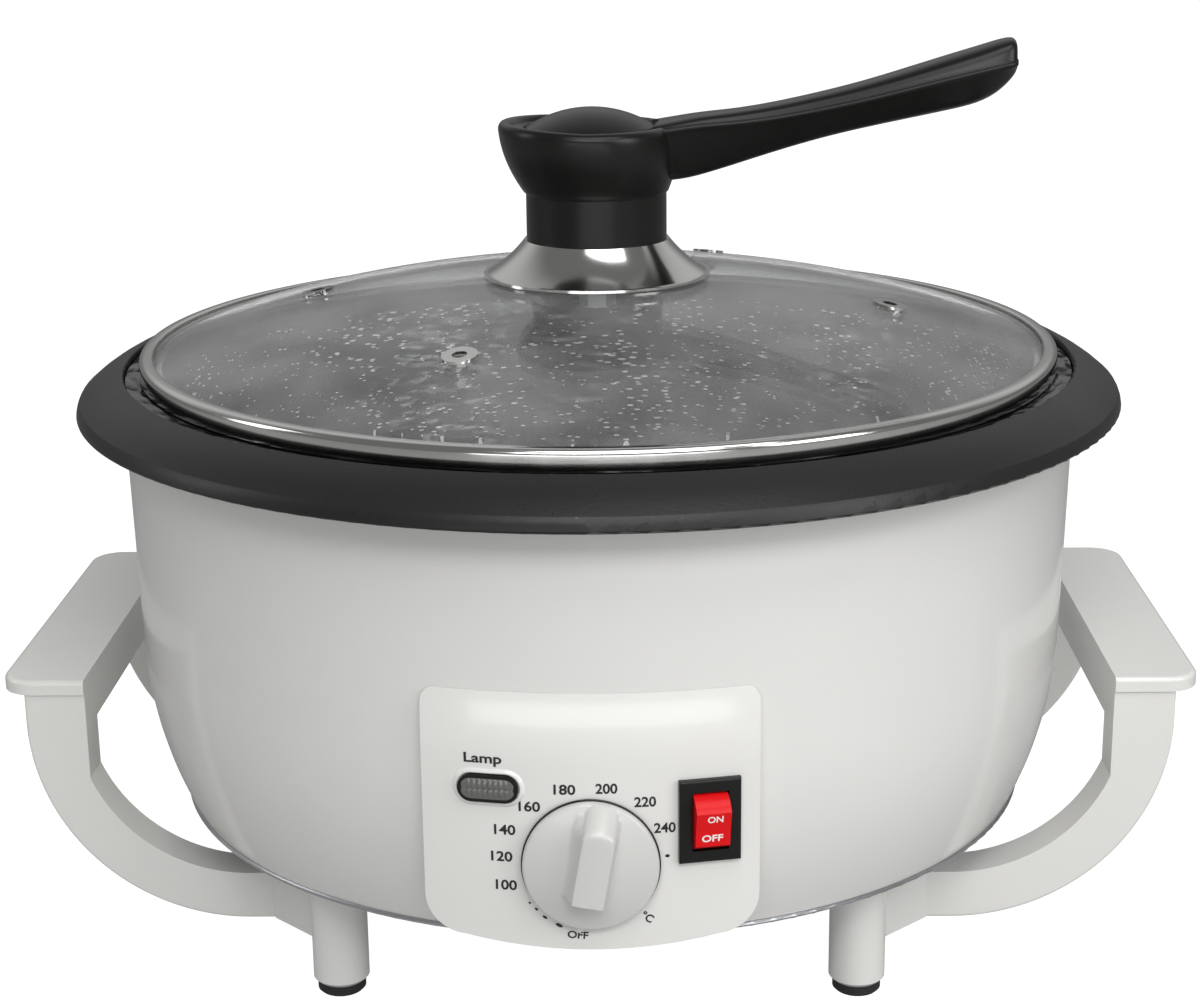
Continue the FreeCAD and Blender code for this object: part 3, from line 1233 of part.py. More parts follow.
def make_thermostat():
    """The thermostat behind the panel and its spindle, and the knob in front."""
    panel_inside = panel_face - s.panel_wall
    half = s.thermostat_plate_half_width
    back_of_face = root(panel_inside * panel_inside - half * half) - s.thermostat_plate_gap
    plate_back = back_of_face - s.thermostat_plate_thickness
    body_back = plate_back - s.thermostat_depth
    neck_front = panel_face - s.thermostat_neck_inset
    spindle_back = plate_back - s.spindle_seat
    bore = s.spindle_radius + s.running_clearance

    part = SubPart("thermostat_body")
    part.pad(part.sketch("XZ", box_loop(
        -s.thermostat_plate_half_width, s.thermostat_plate_half_width,
        knob_level - s.thermostat_plate_half_height,
        knob_level + s.thermostat_plate_half_height), off=plate_back),
        s.thermostat_plate_thickness)
    part.pad(part.sketch("XZ", ring(0, knob_level, s.thermostat_radius), off=body_back),
             s.thermostat_depth)
    part.pad(part.sketch("XZ", ring(0, knob_level, s.thermostat_neck_radius), off=back_of_face),
             neck_front - back_of_face)
    part.pocket(part.sketch("XZ", ring(0, knob_level, bore), off=neck_front),
                neck_front - spindle_back + s.fit_clearance)
    for x in (1, -1):
        centre = s.thermostat_tab_reach * x
        part.pad(part.sketch("XY", box_loop(centre - s.tab_thickness / 2,
                                            centre + s.tab_thickness / 2, -body_back,
                                            -body_back + s.tab_length),
                             off=knob_level - s.tab_width / 2), s.tab_width)
    keep(part.body)

    knob_back = panel_face + s.knob_gap
    knob_front = knob_back + s.knob_depth
    skirt_front = knob_back + s.knob_skirt_depth
    spindle_front = knob_front - s.knob_front_wall
    spindle = SubPart("thermostat_spindle")
    spindle.pad(spindle.sketch("XZ", ring(0, knob_level, s.spindle_radius), off=spindle_back),
                spindle_front - spindle_back)
    flat = s.spindle_radius - s.spindle_flat_depth
    flat_box = box_loop(-s.spindle_radius - 1, s.spindle_radius + 1, flat, s.spindle_radius + 1)
    spindle.pocket(spindle.sketch("XZ", flat_box, up=knob_level, off=spindle_front,
                                  spin=-s.off_mark_angle), spindle_front - knob_back)
    keep(spindle.body)

    knob = SubPart("temperature_knob")
    inner = s.knob_radius - s.knob_face_inset
    rise = s.knob_dome
    dome = (inner * inner + rise * rise) / (2 * rise)
    section = [
        at(-knob_back, 0),
        at(-knob_back, s.knob_radius),
        at(-skirt_front, s.knob_radius),
        at(-skirt_front, inner),
        at(-skirt_front - s.knob_bevel, inner - s.knob_bevel / 2, left=dome),
        at(-skirt_front - s.knob_bevel - rise, 0),
    ]
    knob.turn(knob.sketch("YZ", section, up=knob_level), axis="H_Axis")
    half = s.knob_bar_half_width
    waist = s.knob_bar_end_half_width
    reach = s.knob_radius - s.knob_bar_inset
    end, side = s.knob_bar_end_radius, s.knob_bar_side_radius
    bar = [
        at(-waist, -reach, left=end),
        at(waist, -reach, left=side),
        at(half, 0, left=side),
        at(waist, reach, left=end),
        at(-waist, reach, left=side),
        at(-half, 0, left=side),
    ]
    knob.pad(knob.sketch("XZ", bar, up=knob_level, off=skirt_front, spin=-s.off_mark_angle),
             s.knob_depth - s.knob_skirt_depth)
    knob.round_edges(in_front_face(knob_front), s.knob_bar_edge)
    tip = s.knob_radius + s.pointer_reach
    pointer = [at(-s.pointer_half_width, -inner), at(0, -tip), at(s.pointer_half_width, -inner)]
    knob.pad(knob.sketch("XZ", pointer, up=knob_level, off=knob_back, spin=-s.off_mark_angle),
             s.knob_skirt_depth)
    bore = s.spindle_radius + s.fit_clearance
    knob.pocket(knob.sketch("XZ", ring(0, knob_level, bore), off=knob_back),
                spindle_front - knob_back + s.fit_clearance, backwards=True)
    flat += s.fit_clearance
    chord = root(bore * bore - flat * flat)
    knob.pad(knob.sketch("XZ", box_loop(-chord, chord, flat, bore), up=knob_level, off=knob_back,
                         spin=-s.off_mark_angle), spindle_front - knob_back)
    keep(knob.body)


def make_switch():
    """The rocker switch: case with bezel, rocker on its pin, and two push-on terminals."""
    face = panel_face
    seat = face + s.bezel_gap
    front = seat + s.switch_flange_thickness
    half_w, half_h = s.switch_width / 2, s.switch_height / 2
    case = s.switch_case_inset
    level = switch_level
    case_back = face - s.switch_depth
    well_w = half_w - s.switch_border
    well_h = half_h - s.switch_border
    pivot = front - s.rocker_pivot_depth

    bezel = SubPart("switch_case")
    bezel.pad(bezel.sketch("XZ", box_loop(-half_w, half_w, level - half_h, level + half_h),
                           off=seat), s.switch_flange_thickness)
    bezel.round_edges(in_front_face(front), s.switch_edge)
    bezel.pad(bezel.sketch("XZ", box_loop(-half_w + case, half_w - case, level - half_h + case,
                                          level + half_h - case), off=case_back),
              seat - case_back)
    bezel.pocket(bezel.sketch("XZ", box_loop(-well_w, well_w, level - well_h, level + well_h),
                              off=front), s.switch_well_depth)
    pin = s.rocker_pin_radius + s.running_clearance
    bezel.pocket(bezel.sketch("YZ", ring(-pivot, level, pin)),
                 (well_w + s.rocker_pin_seat + s.running_clearance) * 2, both_ways=True)
    for z in (1, -1):
        centre = level + half_h * s.switch_tab_share * z
        bezel.pad(bezel.sketch("XZ", box_loop(-s.tab_width / 2, s.tab_width / 2,
                                              centre - s.tab_thickness / 2,
                                              centre + s.tab_thickness / 2),
                               off=case_back - s.tab_length), s.tab_length)
    bezel.swing(s.switch_angle)
    keep(bezel.body)

    rocker = SubPart("switch_rocker")
    sweep = well_h - s.rocker_gap
    crest = s.rocker_crest_angle
    crest_out, crest_up = sweep * cosine(crest), sweep * sine(crest)
    heel_out, heel_up = s.rocker_pin_radius, root(
        sweep * sweep - s.rocker_pin_radius * s.rocker_pin_radius)
    stem_out, stem_up = s.rocker_stem_depth, s.rocker_stem_half_height
    profile = [
        at(-crest_out, crest_up, right=s.rocker_hollow_radius),
        at(-crest_out, -crest_up, left=sweep),
        at(heel_out, -heel_up),
        at(stem_out, -stem_up),
        at(stem_out, stem_up),
        at(heel_out, heel_up, left=sweep),
    ]
    rocker.pad(rocker.sketch("YZ", profile, across=-pivot, up=level, spin=s.switch_throw / 2),
               (well_w - s.rocker_gap) * 2, both_ways=True)
    rocker.pad(rocker.sketch("YZ", ring(-pivot, level, s.rocker_pin_radius)),
               (well_w + s.rocker_pin_seat) * 2, both_ways=True)
    rocker.swing(s.switch_angle)
    keep(rocker.body)


def make_lamp():
    """The pilot lamp: oval sleeve with its bezel, ribbed lens and the neon tube inside."""
    seat = panel_face + s.bezel_gap
    front = seat + s.lamp_flange_thickness
    back = panel_face - s.lamp_depth
    half_long, half_high = s.lamp_width / 2, s.lamp_height / 2
    border = s.lamp_border
    bore = border + s.lamp_wall

    sleeve = SubPart("lamp_sleeve")
    sleeve.pad(sleeve.sketch("XZ", slot_loop(half_long, half_high, up=lamp_level), off=seat),
               s.lamp_flange_thickness)
    sleeve.pad(sleeve.sketch("XZ", slot_loop(half_long - border, half_high - border,
                                             up=lamp_level), off=back), seat - back)
    sleeve.pocket(sleeve.sketch("XZ", slot_loop(half_long - bore, half_high - bore,
                                                up=lamp_level), off=front),
                  front - back - s.lamp_floor)
    sleeve.swing(-s.lamp_angle)
    keep(sleeve.body)

    lens = SubPart("lamp_lens")
    inset = bore + s.fit_clearance
    lens_front = front + s.lens_dome
    lens.pad(lens.sketch("XZ", slot_loop(half_long - inset, half_high - inset, up=lamp_level),
                         off=front - s.lens_depth), s.lens_depth + s.lens_dome)
    lens.round_edges(in_front_face(lens_front), s.lens_edge)
    lens.swing(-s.lamp_angle)
    keep(lens.body)

    neon = SubPart("neon_tube")
    neon.pad(neon.sketch("XZ", ring(0, lamp_level, s.neon_radius), off=back + s.lamp_floor),
             s.neon_length)
    neon.swing(-s.lamp_angle)
    keep(neon.body)


# ---------------------------------------------------------------- mains entry

terminal_middle = bowl_foot - s.terminal_inset


def make_mains_entry():
    """The cable gland in the back of the bowl and the terminal block behind it."""
    level = s.base_height + s.gland_rise
    boss_face = gland_face
    flange_face = boss_face + s.gland_flange_thickness
    inner = boss_face - s.gland_boss_depth
    gland = SubPart("cord_gland")
    section = [
        at(inner - s.gland_nose, s.cable_bore_radius),
        at(inner - s.gland_nose, s.gland_sleeve_radius - s.gland_taper),
        at(inner, s.gland_sleeve_radius),
        at(boss_face, s.gland_sleeve_radius),
        at(boss_face, s.gland_flange_radius),
        at(flange_face - s.gland_edge, s.gland_flange_radius),
        at(flange_face, s.gland_flange_radius - s.gland_edge),
        at(flange_face, s.cable_bore_radius),
    ]
    gland.turn(gland.sketch("YZ", section, up=level), axis="H_Axis")
    keep(gland.body)

    block = SubPart("terminal_block")
    half = s.terminal_half_width
    front = terminal_middle - s.terminal_half_depth
    rear = terminal_middle + s.terminal_half_depth
    top = s.base_height + s.terminal_height
    block.pad(block.sketch("XY", box_loop(-half, half, front, rear), off=s.base_height),
              s.terminal_height)
    step_rear = front + s.terminal_step_depth
    step = box_loop(front - BEYOND, step_rear, s.base_height + s.terminal_step, top + BEYOND)
    block.pocket(block.sketch("YZ", step), half * 2 + BEYOND, both_ways=True)
    wells = [ring(s.terminal_well_pitch * x, (step_rear + rear) / 2, s.terminal_well_radius)
             for x in (-1, 0, 1)]
    block.pocket(block.sketch("XY", *wells, off=top), s.terminal_well_depth)
    keep(block.body)


# ---------------------------------------------------------------- legs, straps and grips

grip_inner = s.bowl_waist_radius + s.grip_gap
grip_top = s.base_height + s.grip_rise
plate_low = grip_top - s.grip_plate
strap_outer = grip_inner + s.strap_width
strap_centre = strap_outer - s.strap_curve_radius
strap_end = strap_centre - s.strap_toe
strap_back = s.strap_face - s.strap_depth
strap_foot_top = s.strap_floor + s.strap_foot_width


def four_of(word, body):
    """The front right piece and its three mirror images."""
    body.Label = "front_right_" + word
    keep(body)
    mirrored(body, "rear_right_" + word, ALONG)
    left = mirrored(body, "front_left_" + word, ACROSS)
    mirrored(left, "rear_left_" + word, ALONG)


def make_legs():
    """A leg with the diagonal web that meets its strap, and a socket for the rubber foot."""
    part = SubPart("front_right_leg")
    x, y = leg_across, -leg_along
    diagonal = s.leg_radius * cosine(as_size(45))
    web = [
        at(strap_end, -s.strap_face),
        at(strap_end, -strap_back),
        at(x - diagonal, y + diagonal),
        at(x, y),
    ]
    part.pad(part.sketch("XY", web, off=s.strap_floor), plate_under - s.strap_floor)
    part.pad(part.sketch("XY", ring(x, y, s.leg_radius), off=s.foot_height),
             plate_under - s.foot_height)
    low = s.foot_height.value
    part.round_edges(lambda edge: edge.BoundBox.ZMax < low + TOUCH, s.leg_chamfer, kind="Chamfer")
    socket = s.foot_plug_radius + s.fit_clearance
    part.pocket(part.sketch("XY", ring(x, y, socket), off=s.foot_height),
                s.foot_plug_length + s.fit_clearance, backwards=True)
    part.pocket(part.sketch("XY", ring(x, y, screw_hole), off=plate_under),
                s.leg_screw_length - s.base_thickness + s.blind_end)
    inset = s.tenon_inset - s.fit_clearance
    mortise = box_loop(-s.strap_face + inset, -strap_back - inset,
                       s.strap_floor + inset, strap_foot_top - inset)
    part.pocket(part.sketch("YZ", mortise, off=strap_end), s.tenon_length + s.fit_clearance)
    four_of("leg", part.body)

    places = [(leg_across * x, leg_along * y) for x in (1, -1) for y in (1, -1)]
    screws("leg_screws", places, s.base_height, s.leg_screw_length)

    feet = SubPart("rubber_feet")
    discs = [ring(across, along, s.foot_radius) for across, along in places]
    plugs = [ring(across, along, s.foot_plug_radius) for across, along in places]
    feet.pad(feet.sketch("XY", *discs), s.foot_height)
    feet.pad(feet.sketch("XY", *plugs, off=s.foot_height), s.foot_plug_length)
    feet.round_edges(lambda edge: edge.BoundBox.ZMax < TOUCH, s.foot_chamfer, kind="Chamfer")
    keep(feet.body)


def make_straps():
    """A curved strap: a quarter bend from the grip down to the leg, with tongue and pegs."""
    part = SubPart("front_right_strap")
    inner_low = s.strap_floor + s.strap_foot_width
    section = [
        at(strap_end, s.strap_floor),
        at(strap_centre, s.strap_floor, left=s.strap_curve_radius),
        at(strap_outer, s.strap_floor + s.strap_curve_radius),
        at(strap_outer, plate_low),
        at(grip_inner, plate_low),
        at(grip_inner, inner_low + s.strap_inner_rise, right=s.strap_inner_radius),
        at(strap_centre, inner_low),
        at(strap_end, inner_low),
    ]
    part.pad(part.sketch("XZ", section, off=strap_back), s.strap_depth)
    part.round_edges(outer_strap_edge, s.strap_edge)
    tongue = box_loop(-s.strap_face + s.tenon_inset, -strap_back - s.tenon_inset,
                      s.strap_floor + s.tenon_inset, inner_low - s.tenon_inset)
    part.pad(part.sketch("YZ", tongue, off=strap_end), s.tenon_length, backwards=True)
    part.pad(part.sketch("XY", *peg_rings(s.peg_radius), off=plate_low), s.peg_length)
    four_of("strap", part.body)


def outer_strap_edge(edge):
    """The long outer edges of a strap, on its outer curve and beside it."""
    box = edge.BoundBox
    in_face = box.YLength < TOUCH
    curve = box.XMax > strap_centre.value and box.ZMin < plate_low.value - 1
    outer = edge.CenterOfMass.x > strap_centre.value + s.strap_curve_radius.value * 0.55
    return in_face and curve and outer and box.ZLength > 5 and box.XMax > strap_outer.value - TOUCH


def peg_rings(radius):
    """The two pegs of a strap, seen from above."""
    middle = (grip_inner + strap_outer) / 2
    along = -(s.strap_face + strap_back) / 2
    return [ring(middle + s.peg_pitch / 2 * x, along, radius) for x in (1, -1)]


def make_grips():
    """The grip: a round-cornered plate with a wall along its inner edge."""
    part = SubPart("right_grip")
    half = s.strap_face + s.grip_overhang
    outer = grip_inner + s.grip_width
    corner = s.grip_corner
    outline = [
        at(grip_inner, -half),
        at(outer - corner, -half, left=corner),
        at(outer, -half + corner),
        at(outer, half - corner, left=corner),
        at(outer - corner, half),
        at(grip_inner, half),
    ]
    part.pad(part.sketch("XY", outline, off=plate_low), s.grip_plate)
    top = grip_top.value
    inside = grip_inner.value + TOUCH
    part.round_edges(lambda edge: edge.BoundBox.ZMin > top - TOUCH and edge.BoundBox.XMax > inside,
                     s.grip_edge)
    wall = box_loop(grip_inner, grip_inner + s.grip_skirt_wall, -strap_back, strap_back)
    part.pad(part.sketch("XY", wall, off=plate_low), s.grip_skirt_depth, backwards=True)
    hole = s.peg_radius + s.fit_clearance
    depth = s.peg_length + s.fit_clearance
    front = part.pocket(part.sketch("XY", *peg_rings(hole), off=plate_low), depth, backwards=True)
    part.mirror([front], "XZ")
    keep(part.body)
    mirrored(part.body, "left_grip", ACROSS)


# ---------------------------------------------------------------- lid

band_low = flange_top + s.lid_play
band_top = band_low + s.band_height
glass_edge = lid_outer - s.glass_edge_gap
glass_under_edge = band_low + s.band_thickness
glass_top_edge = glass_under_edge + s.glass_thickness
glass_apex = glass_top_edge + s.glass_rise
dome_radius = (glass_edge * glass_edge + s.glass_rise * s.glass_rise) / (2 * s.glass_rise)


def glass_height(radius):
    """Top of the glass at a distance from the lid's axis."""
    return glass_apex - dome_radius + root(dome_radius * dome_radius - radius * radius)


def make_glass():
    """The domed glass with its centre hole and four steam vents."""
    part = SubPart("lid_glass")
    thick = s.glass_thickness
    section = [
        at(s.glass_bore_radius, glass_height(s.glass_bore_radius) - thick,
           right=dome_radius - thick),
        at(glass_edge - s.glass_edge, glass_under_edge),
        at(glass_edge, glass_under_edge + s.glass_edge),
        at(glass_edge, glass_top_edge, left=dome_radius),
        at(s.glass_bore_radius, glass_height(s.glass_bore_radius)),
    ]
    part.turn(part.sketch("XZ", section))
    part.pocket(part.sketch("XY", *vent_rings(s.vent_hole_radius), off=glass_apex),
                s.glass_rise + thick)
    return keep(part.body)


def vent_rings(radius):
    """The four steam vents, seen from above, in two pairs that face each other."""
    headings = [angle + turn for angle in (s.vent_first_angle, s.vent_first_angle + s.vent_split)
                for turn in (0, 180)]
    return [ring(vent_circle * cosine(heading), vent_circle * sine(heading),
                 radius) for heading in headings]


def make_band():
    """The rolled steel band: over the glass edge, flat on the pan's flange, down inside the pan."""
    part = SubPart("lid_band")
    sheet = s.band_thickness
    outer = lid_outer
    lip = outer - s.band_overlap
    over = glass_height(lip) + s.fit_clearance
    inside = glass_edge + s.fit_clearance
    section = [
        at(band_skirt - sheet, band_low - s.band_skirt_depth),
        at(band_skirt, band_low - s.band_skirt_depth),
        at(band_skirt, band_low),
        at(outer - s.band_foot_bend, band_low, left=s.band_foot_bend),
        at(outer, band_low + s.band_foot_bend),
        at(outer, band_top - s.band_bend, left=s.band_bend),
        at(outer - s.band_bend, band_top),
        at(lip, over + sheet + s.fit_clearance),
        at(lip, over),
        at(inside, over),
        at(inside, band_low + sheet),
        at(band_skirt - sheet, band_low + sheet),
    ]
    part.turn(part.sketch("XZ", section))
    return keep(part.body)


def make_eyelets():
    """Steel eyelets that line the steam vents: a flange along the glass and a tube through it."""
    part = SubPart("vent_eyelets")
    reach = vent_circle
    low = glass_height(reach + s.vent_eyelet_radius) - s.fit_clearance
    high = glass_height(reach - s.vent_eyelet_radius) + s.vent_eyelet_thickness
    under = glass_height(reach + s.vent_hole_radius) - s.glass_thickness - s.vent_eyelet_thickness
    part.pad(part.sketch("XY", *vent_rings(s.vent_eyelet_radius), off=low), high - low)
    under_side = s.fit_clearance / 2
    upper_side = under_side + s.vent_eyelet_thickness
    part.groove(part.sketch("XZ", [
        at(0, glass_under_edge),
        at(glass_edge, glass_under_edge),
        at(glass_edge, glass_top_edge + under_side, left=dome_radius),
        at(0, glass_apex + under_side),
    ]))
    part.groove(part.sketch("XZ", [
        at(0, glass_apex + upper_side),
        at(0, glass_apex + BEYOND),
        at(glass_edge, glass_apex + BEYOND),
        at(glass_edge, glass_top_edge + upper_side, left=dome_radius),
    ]))
    tube = s.vent_hole_radius - s.fit_clearance
    part.pad(part.sketch("XY", *vent_rings(tube), off=under), low + s.vent_eyelet_thickness - under)
    part.pocket(part.sketch("XY", *vent_rings(tube - s.vent_eyelet_wall), off=high), high - under)
    return keep(part.body)


collar_foot = glass_height(s.collar_foot_radius - s.collar_hem) + s.fit_clearance
collar_top = collar_foot + s.collar_height
boss_top_level = collar_top + s.boss_length
head_top = boss_top_level + s.handle_head_height
cap_seat = head_top - s.cap_depth
bolt_seat = collar_top + s.bolt_bridge
nut_seat = glass_apex - s.glass_thickness - s.gasket_thickness - s.washer_thickness


def make_collar():
    """The spun steel collar: a hollow trumpet on the glass with a flat top for the boss."""
    part = SubPart("lid_collar")
    sheet = s.collar_sheet
    bore = s.bolt_radius + s.bolt_play
    flare = s.collar_flare_radius
    hem_inner = s.collar_foot_radius - s.collar_hem
    section = [
        at(bore, collar_top - sheet),
        at(s.collar_neck_radius - sheet, collar_top - sheet, left=flare + sheet),
        at(hem_inner, collar_foot),
        at(s.collar_foot_radius, collar_foot),
        at(s.collar_foot_radius, collar_foot + sheet),
        at(hem_inner + sheet, collar_foot + sheet, right=flare),
        at(s.collar_neck_radius, collar_top),
        at(bore, collar_top),
    ]
    part.turn(part.sketch("XZ", section))
    return keep(part.body)


def make_lid_boss():
    """The black boss between the collar and the handle head."""
    part = SubPart("lid_boss")
    bore = s.bolt_radius + s.bolt_play
    inner = s.bolt_head_radius + s.bolt_head_play
    part.turn(part.sketch("XZ", [
        at(bore, collar_top),
        at(s.lid_boss_radius, collar_top),
        at(s.lid_boss_radius, boss_top_level),
        at(inner, boss_top_level),
        at(inner, bolt_seat),
        at(bore, bolt_seat),
    ]))
    return keep(part.body)


def lever_section(part, station):
    """One cross-section of the lever: keel below, flared walls, beaded shoulders, crown on top."""
    def of(column):
        return getattr(s, "lever_%s_%s" % (station, column))
    shoulder = boss_top_level + of("shoulder")
    under = boss_top_level + of("under")
    wide, keel = of("half_width"), of("half_under")
    bead, groove, sag = s.lever_bead, s.lever_groove, s.lever_keel_sag
    foot = shoulder - s.lever_groove_depth
    span = wide - groove
    lift = shoulder + of("crown") - foot
    crown_arc = (span * span + lift * lift) / (2 * lift)
    keel_arc = (keel * keel + sag * sag) / (2 * sag)
    outline = [
        at(-keel, under + sag, left=keel_arc),
        at(keel, under + sag),
        at(wide, shoulder - bead),
        at(wide - bead / 2, shoulder),
        at(span, foot, left=crown_arc),
        at(-span, foot),
        at(bead / 2 - wide, shoulder),
        at(-wide, shoulder - bead),
    ]
    return part.sketch("YZ", outline, off=of("reach"))


def make_handle():
    """The handle: a flared head with a long rising lever, its crown ending in a rounded lobe."""
    part = SubPart("lid_handle")
    growth = s.handle_head_radius - s.handle_foot_radius
    wall_height = s.handle_head_height - s.head_edge
    shares = [(getattr(s, "head_ring_%d_rise" % number), getattr(s, "head_ring_%d_growth" % number))
              for number in range(len(HEAD_RINGS))]
    rings = [(wall_height * rise, s.handle_foot_radius + growth * share, s.handle_head_shift * rise)
             for rise, share in shares]
    rings.append((s.handle_head_height, s.handle_head_radius - s.head_edge, s.handle_head_shift))
    head = part.loft([part.sketch("XY", ring(-shift, 0, radius), off=boss_top_level + height)
                      for height, radius, shift in rings])
    head.Ruled = True
    part.loft([lever_section(part, station[0]) for station in LEVER_STATIONS])
    recess = s.cap_radius + s.cap_play
    part.pocket(part.sketch("XY", ring(-s.cap_shift, 0, recess), off=head_top + s.cap_dome),
                s.cap_dome + s.cap_depth)
    well = s.bolt_head_radius + s.bolt_head_play
    part.pocket(part.sketch("XY", ring(0, 0, well), off=cap_seat), s.handle_head_height)
    return keep(part.body)


def make_lid_fittings():
    """Cap, through bolt, and the gasket, washer and cap nut that clamp the glass from below."""
    cap = SubPart("handle_cap")
    radius, rise = s.cap_radius, s.cap_dome
    edge = cap_seat + s.cap_edge_height
    cap.turn(cap.sketch("XZ", [
        at(0, cap_seat), at(radius, cap_seat),
        at(radius, edge, left=(radius * radius + rise * rise) / (2 * rise)),
        at(0, edge + rise),
    ], across=-s.cap_shift))
    keep(cap.body)

    bolt = SubPart("handle_bolt")
    end = nut_seat - s.nut_height + s.nut_roof
    bolt.turn(bolt.sketch("XZ", [
        at(0, end), at(s.bolt_radius, end), at(s.bolt_radius, bolt_seat),
        at(s.bolt_head_radius, bolt_seat), at(s.bolt_head_radius, bolt_seat + s.bolt_head_height),
        at(0, bolt_seat + s.bolt_head_height),
    ]))
    keep(bolt.body)

    under = glass_height(s.gasket_radius) - s.glass_thickness
    gasket = SubPart("lid_gasket")
    bore = s.bolt_radius + s.fit_clearance
    gasket.turn(gasket.sketch("XZ", [
        at(bore, under - s.gasket_thickness), at(s.gasket_radius, under - s.gasket_thickness),
        at(s.gasket_radius, under), at(bore, under),
    ]))
    keep(gasket.body)
    washer = SubPart("lid_washer")
    low = under - s.gasket_thickness - s.washer_thickness
    washer.turn(washer.sketch("XZ", [
        at(bore, low), at(s.washer_radius, low), at(s.washer_radius, low + s.washer_thickness),
        at(bore, low + s.washer_thickness),
    ]))
    keep(washer.body)
    nut = SubPart("cap_nut")
    corners = [as_size(360 / NUT_SIDES * number) for number in range(NUT_SIDES)]
    hexagon = [at(s.nut_radius * cosine(corner), s.nut_radius * sine(corner))
               for corner in corners]
    nut.pad(nut.sketch("XY", hexagon, off=low), s.nut_height, backwards=True)
    nut.pocket(nut.sketch("XY", ring(0, 0, bore), off=low), low - end + s.fit_clearance)
    keep(nut.body)


# ---------------------------------------------------------------- build, check and write

def build():
    make_bowl()
    make_base_plate()
    make_rim_ring()
    make_bowl_screws()
    make_pan()
    make_bush()
    make_motor()
    make_motor_bracket()
    make_drive_screws()
    make_shaft()
    make_stirrer_hub()
    make_arm("stirrer_arm_long", long_arm_reach, 1)
    make_arm("stirrer_arm_short", short_arm_reach, -1)
    make_heater()
    make_panel()
    make_thermostat()
    make_switch()
    make_lamp()
    make_mains_entry()
    make_legs()
    make_straps()
    make_grips()
    make_glass()
    make_band()
    make_eyelets()
    make_collar()
    make_lid_boss()
    make_handle()
    make_lid_fittings()


def check():
    """Stop on a failed feature, a cut that removed nothing, or a sub-part that is no solid."""
    document.recompute()
    for thing in document.Objects:
        if "Invalid" in thing.State or "Error" in thing.State:
            raise RuntimeError("%s failed: %s" % (thing.Name, thing.getStatusString()))
    for feature in SubPart.cuts:
        before = feature.BaseFeature
        if before is not None and not feature.Shape.Volume < before.Shape.Volume - 1e-6:
            raise RuntimeError("%s removes nothing" % feature.Name)
    for thing in sub_parts:
        shape = thing.Shape
        if shape.isNull() or not shape.isValid() or not shape.Solids:
            raise RuntimeError("%s has no valid solid" % thing.Label)


def write():
    """One STEP file for each sub-part, named after it."""
    os.makedirs("parts", exist_ok=True)
    for thing in sub_parts:
        thing.Shape.exportStep("parts/%s.step" % thing.Label)


build()
check()
write()
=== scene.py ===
"""Dresses the home coffee bean roaster for its picture.

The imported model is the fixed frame: it gives the place and size of every piece. This script
gives each piece its finish, adds the printing, the moulded details and the smooth outer shapes,
and sets up the camera, the floor and the lamps.
"""

import json
import logging
import math
from dataclasses import dataclass, field
from enum import Enum
from typing import Optional, Sequence

import bmesh
import bpy
from mathutils import Matrix, Vector

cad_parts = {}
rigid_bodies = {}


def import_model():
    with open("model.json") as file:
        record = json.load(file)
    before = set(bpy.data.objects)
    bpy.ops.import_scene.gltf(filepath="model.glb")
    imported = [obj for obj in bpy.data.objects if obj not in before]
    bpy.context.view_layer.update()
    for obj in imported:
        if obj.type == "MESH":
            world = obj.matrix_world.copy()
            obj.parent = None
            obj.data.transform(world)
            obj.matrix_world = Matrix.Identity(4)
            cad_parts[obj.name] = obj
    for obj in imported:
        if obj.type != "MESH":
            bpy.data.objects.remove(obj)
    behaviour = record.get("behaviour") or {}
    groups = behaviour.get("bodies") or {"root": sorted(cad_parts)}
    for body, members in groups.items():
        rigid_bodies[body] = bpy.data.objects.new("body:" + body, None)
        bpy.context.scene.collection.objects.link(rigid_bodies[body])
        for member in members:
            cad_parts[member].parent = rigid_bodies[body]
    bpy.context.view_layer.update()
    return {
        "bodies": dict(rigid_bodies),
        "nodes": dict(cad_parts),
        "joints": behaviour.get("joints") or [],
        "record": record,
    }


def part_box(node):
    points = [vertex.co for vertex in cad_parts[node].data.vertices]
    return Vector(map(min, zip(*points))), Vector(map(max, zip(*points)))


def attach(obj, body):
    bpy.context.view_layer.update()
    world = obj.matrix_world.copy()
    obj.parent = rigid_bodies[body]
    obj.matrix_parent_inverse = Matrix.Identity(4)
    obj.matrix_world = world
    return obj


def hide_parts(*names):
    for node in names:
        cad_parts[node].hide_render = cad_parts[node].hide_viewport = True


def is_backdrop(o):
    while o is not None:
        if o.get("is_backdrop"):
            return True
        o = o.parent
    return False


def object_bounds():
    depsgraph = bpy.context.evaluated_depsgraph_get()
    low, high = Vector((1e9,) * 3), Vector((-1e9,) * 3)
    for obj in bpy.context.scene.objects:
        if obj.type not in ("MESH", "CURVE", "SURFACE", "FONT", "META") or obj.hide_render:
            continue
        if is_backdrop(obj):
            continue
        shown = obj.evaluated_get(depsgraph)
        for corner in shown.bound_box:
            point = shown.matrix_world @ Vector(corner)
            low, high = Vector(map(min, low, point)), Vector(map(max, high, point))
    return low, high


log = logging.getLogger("roaster")

MM = 0.001


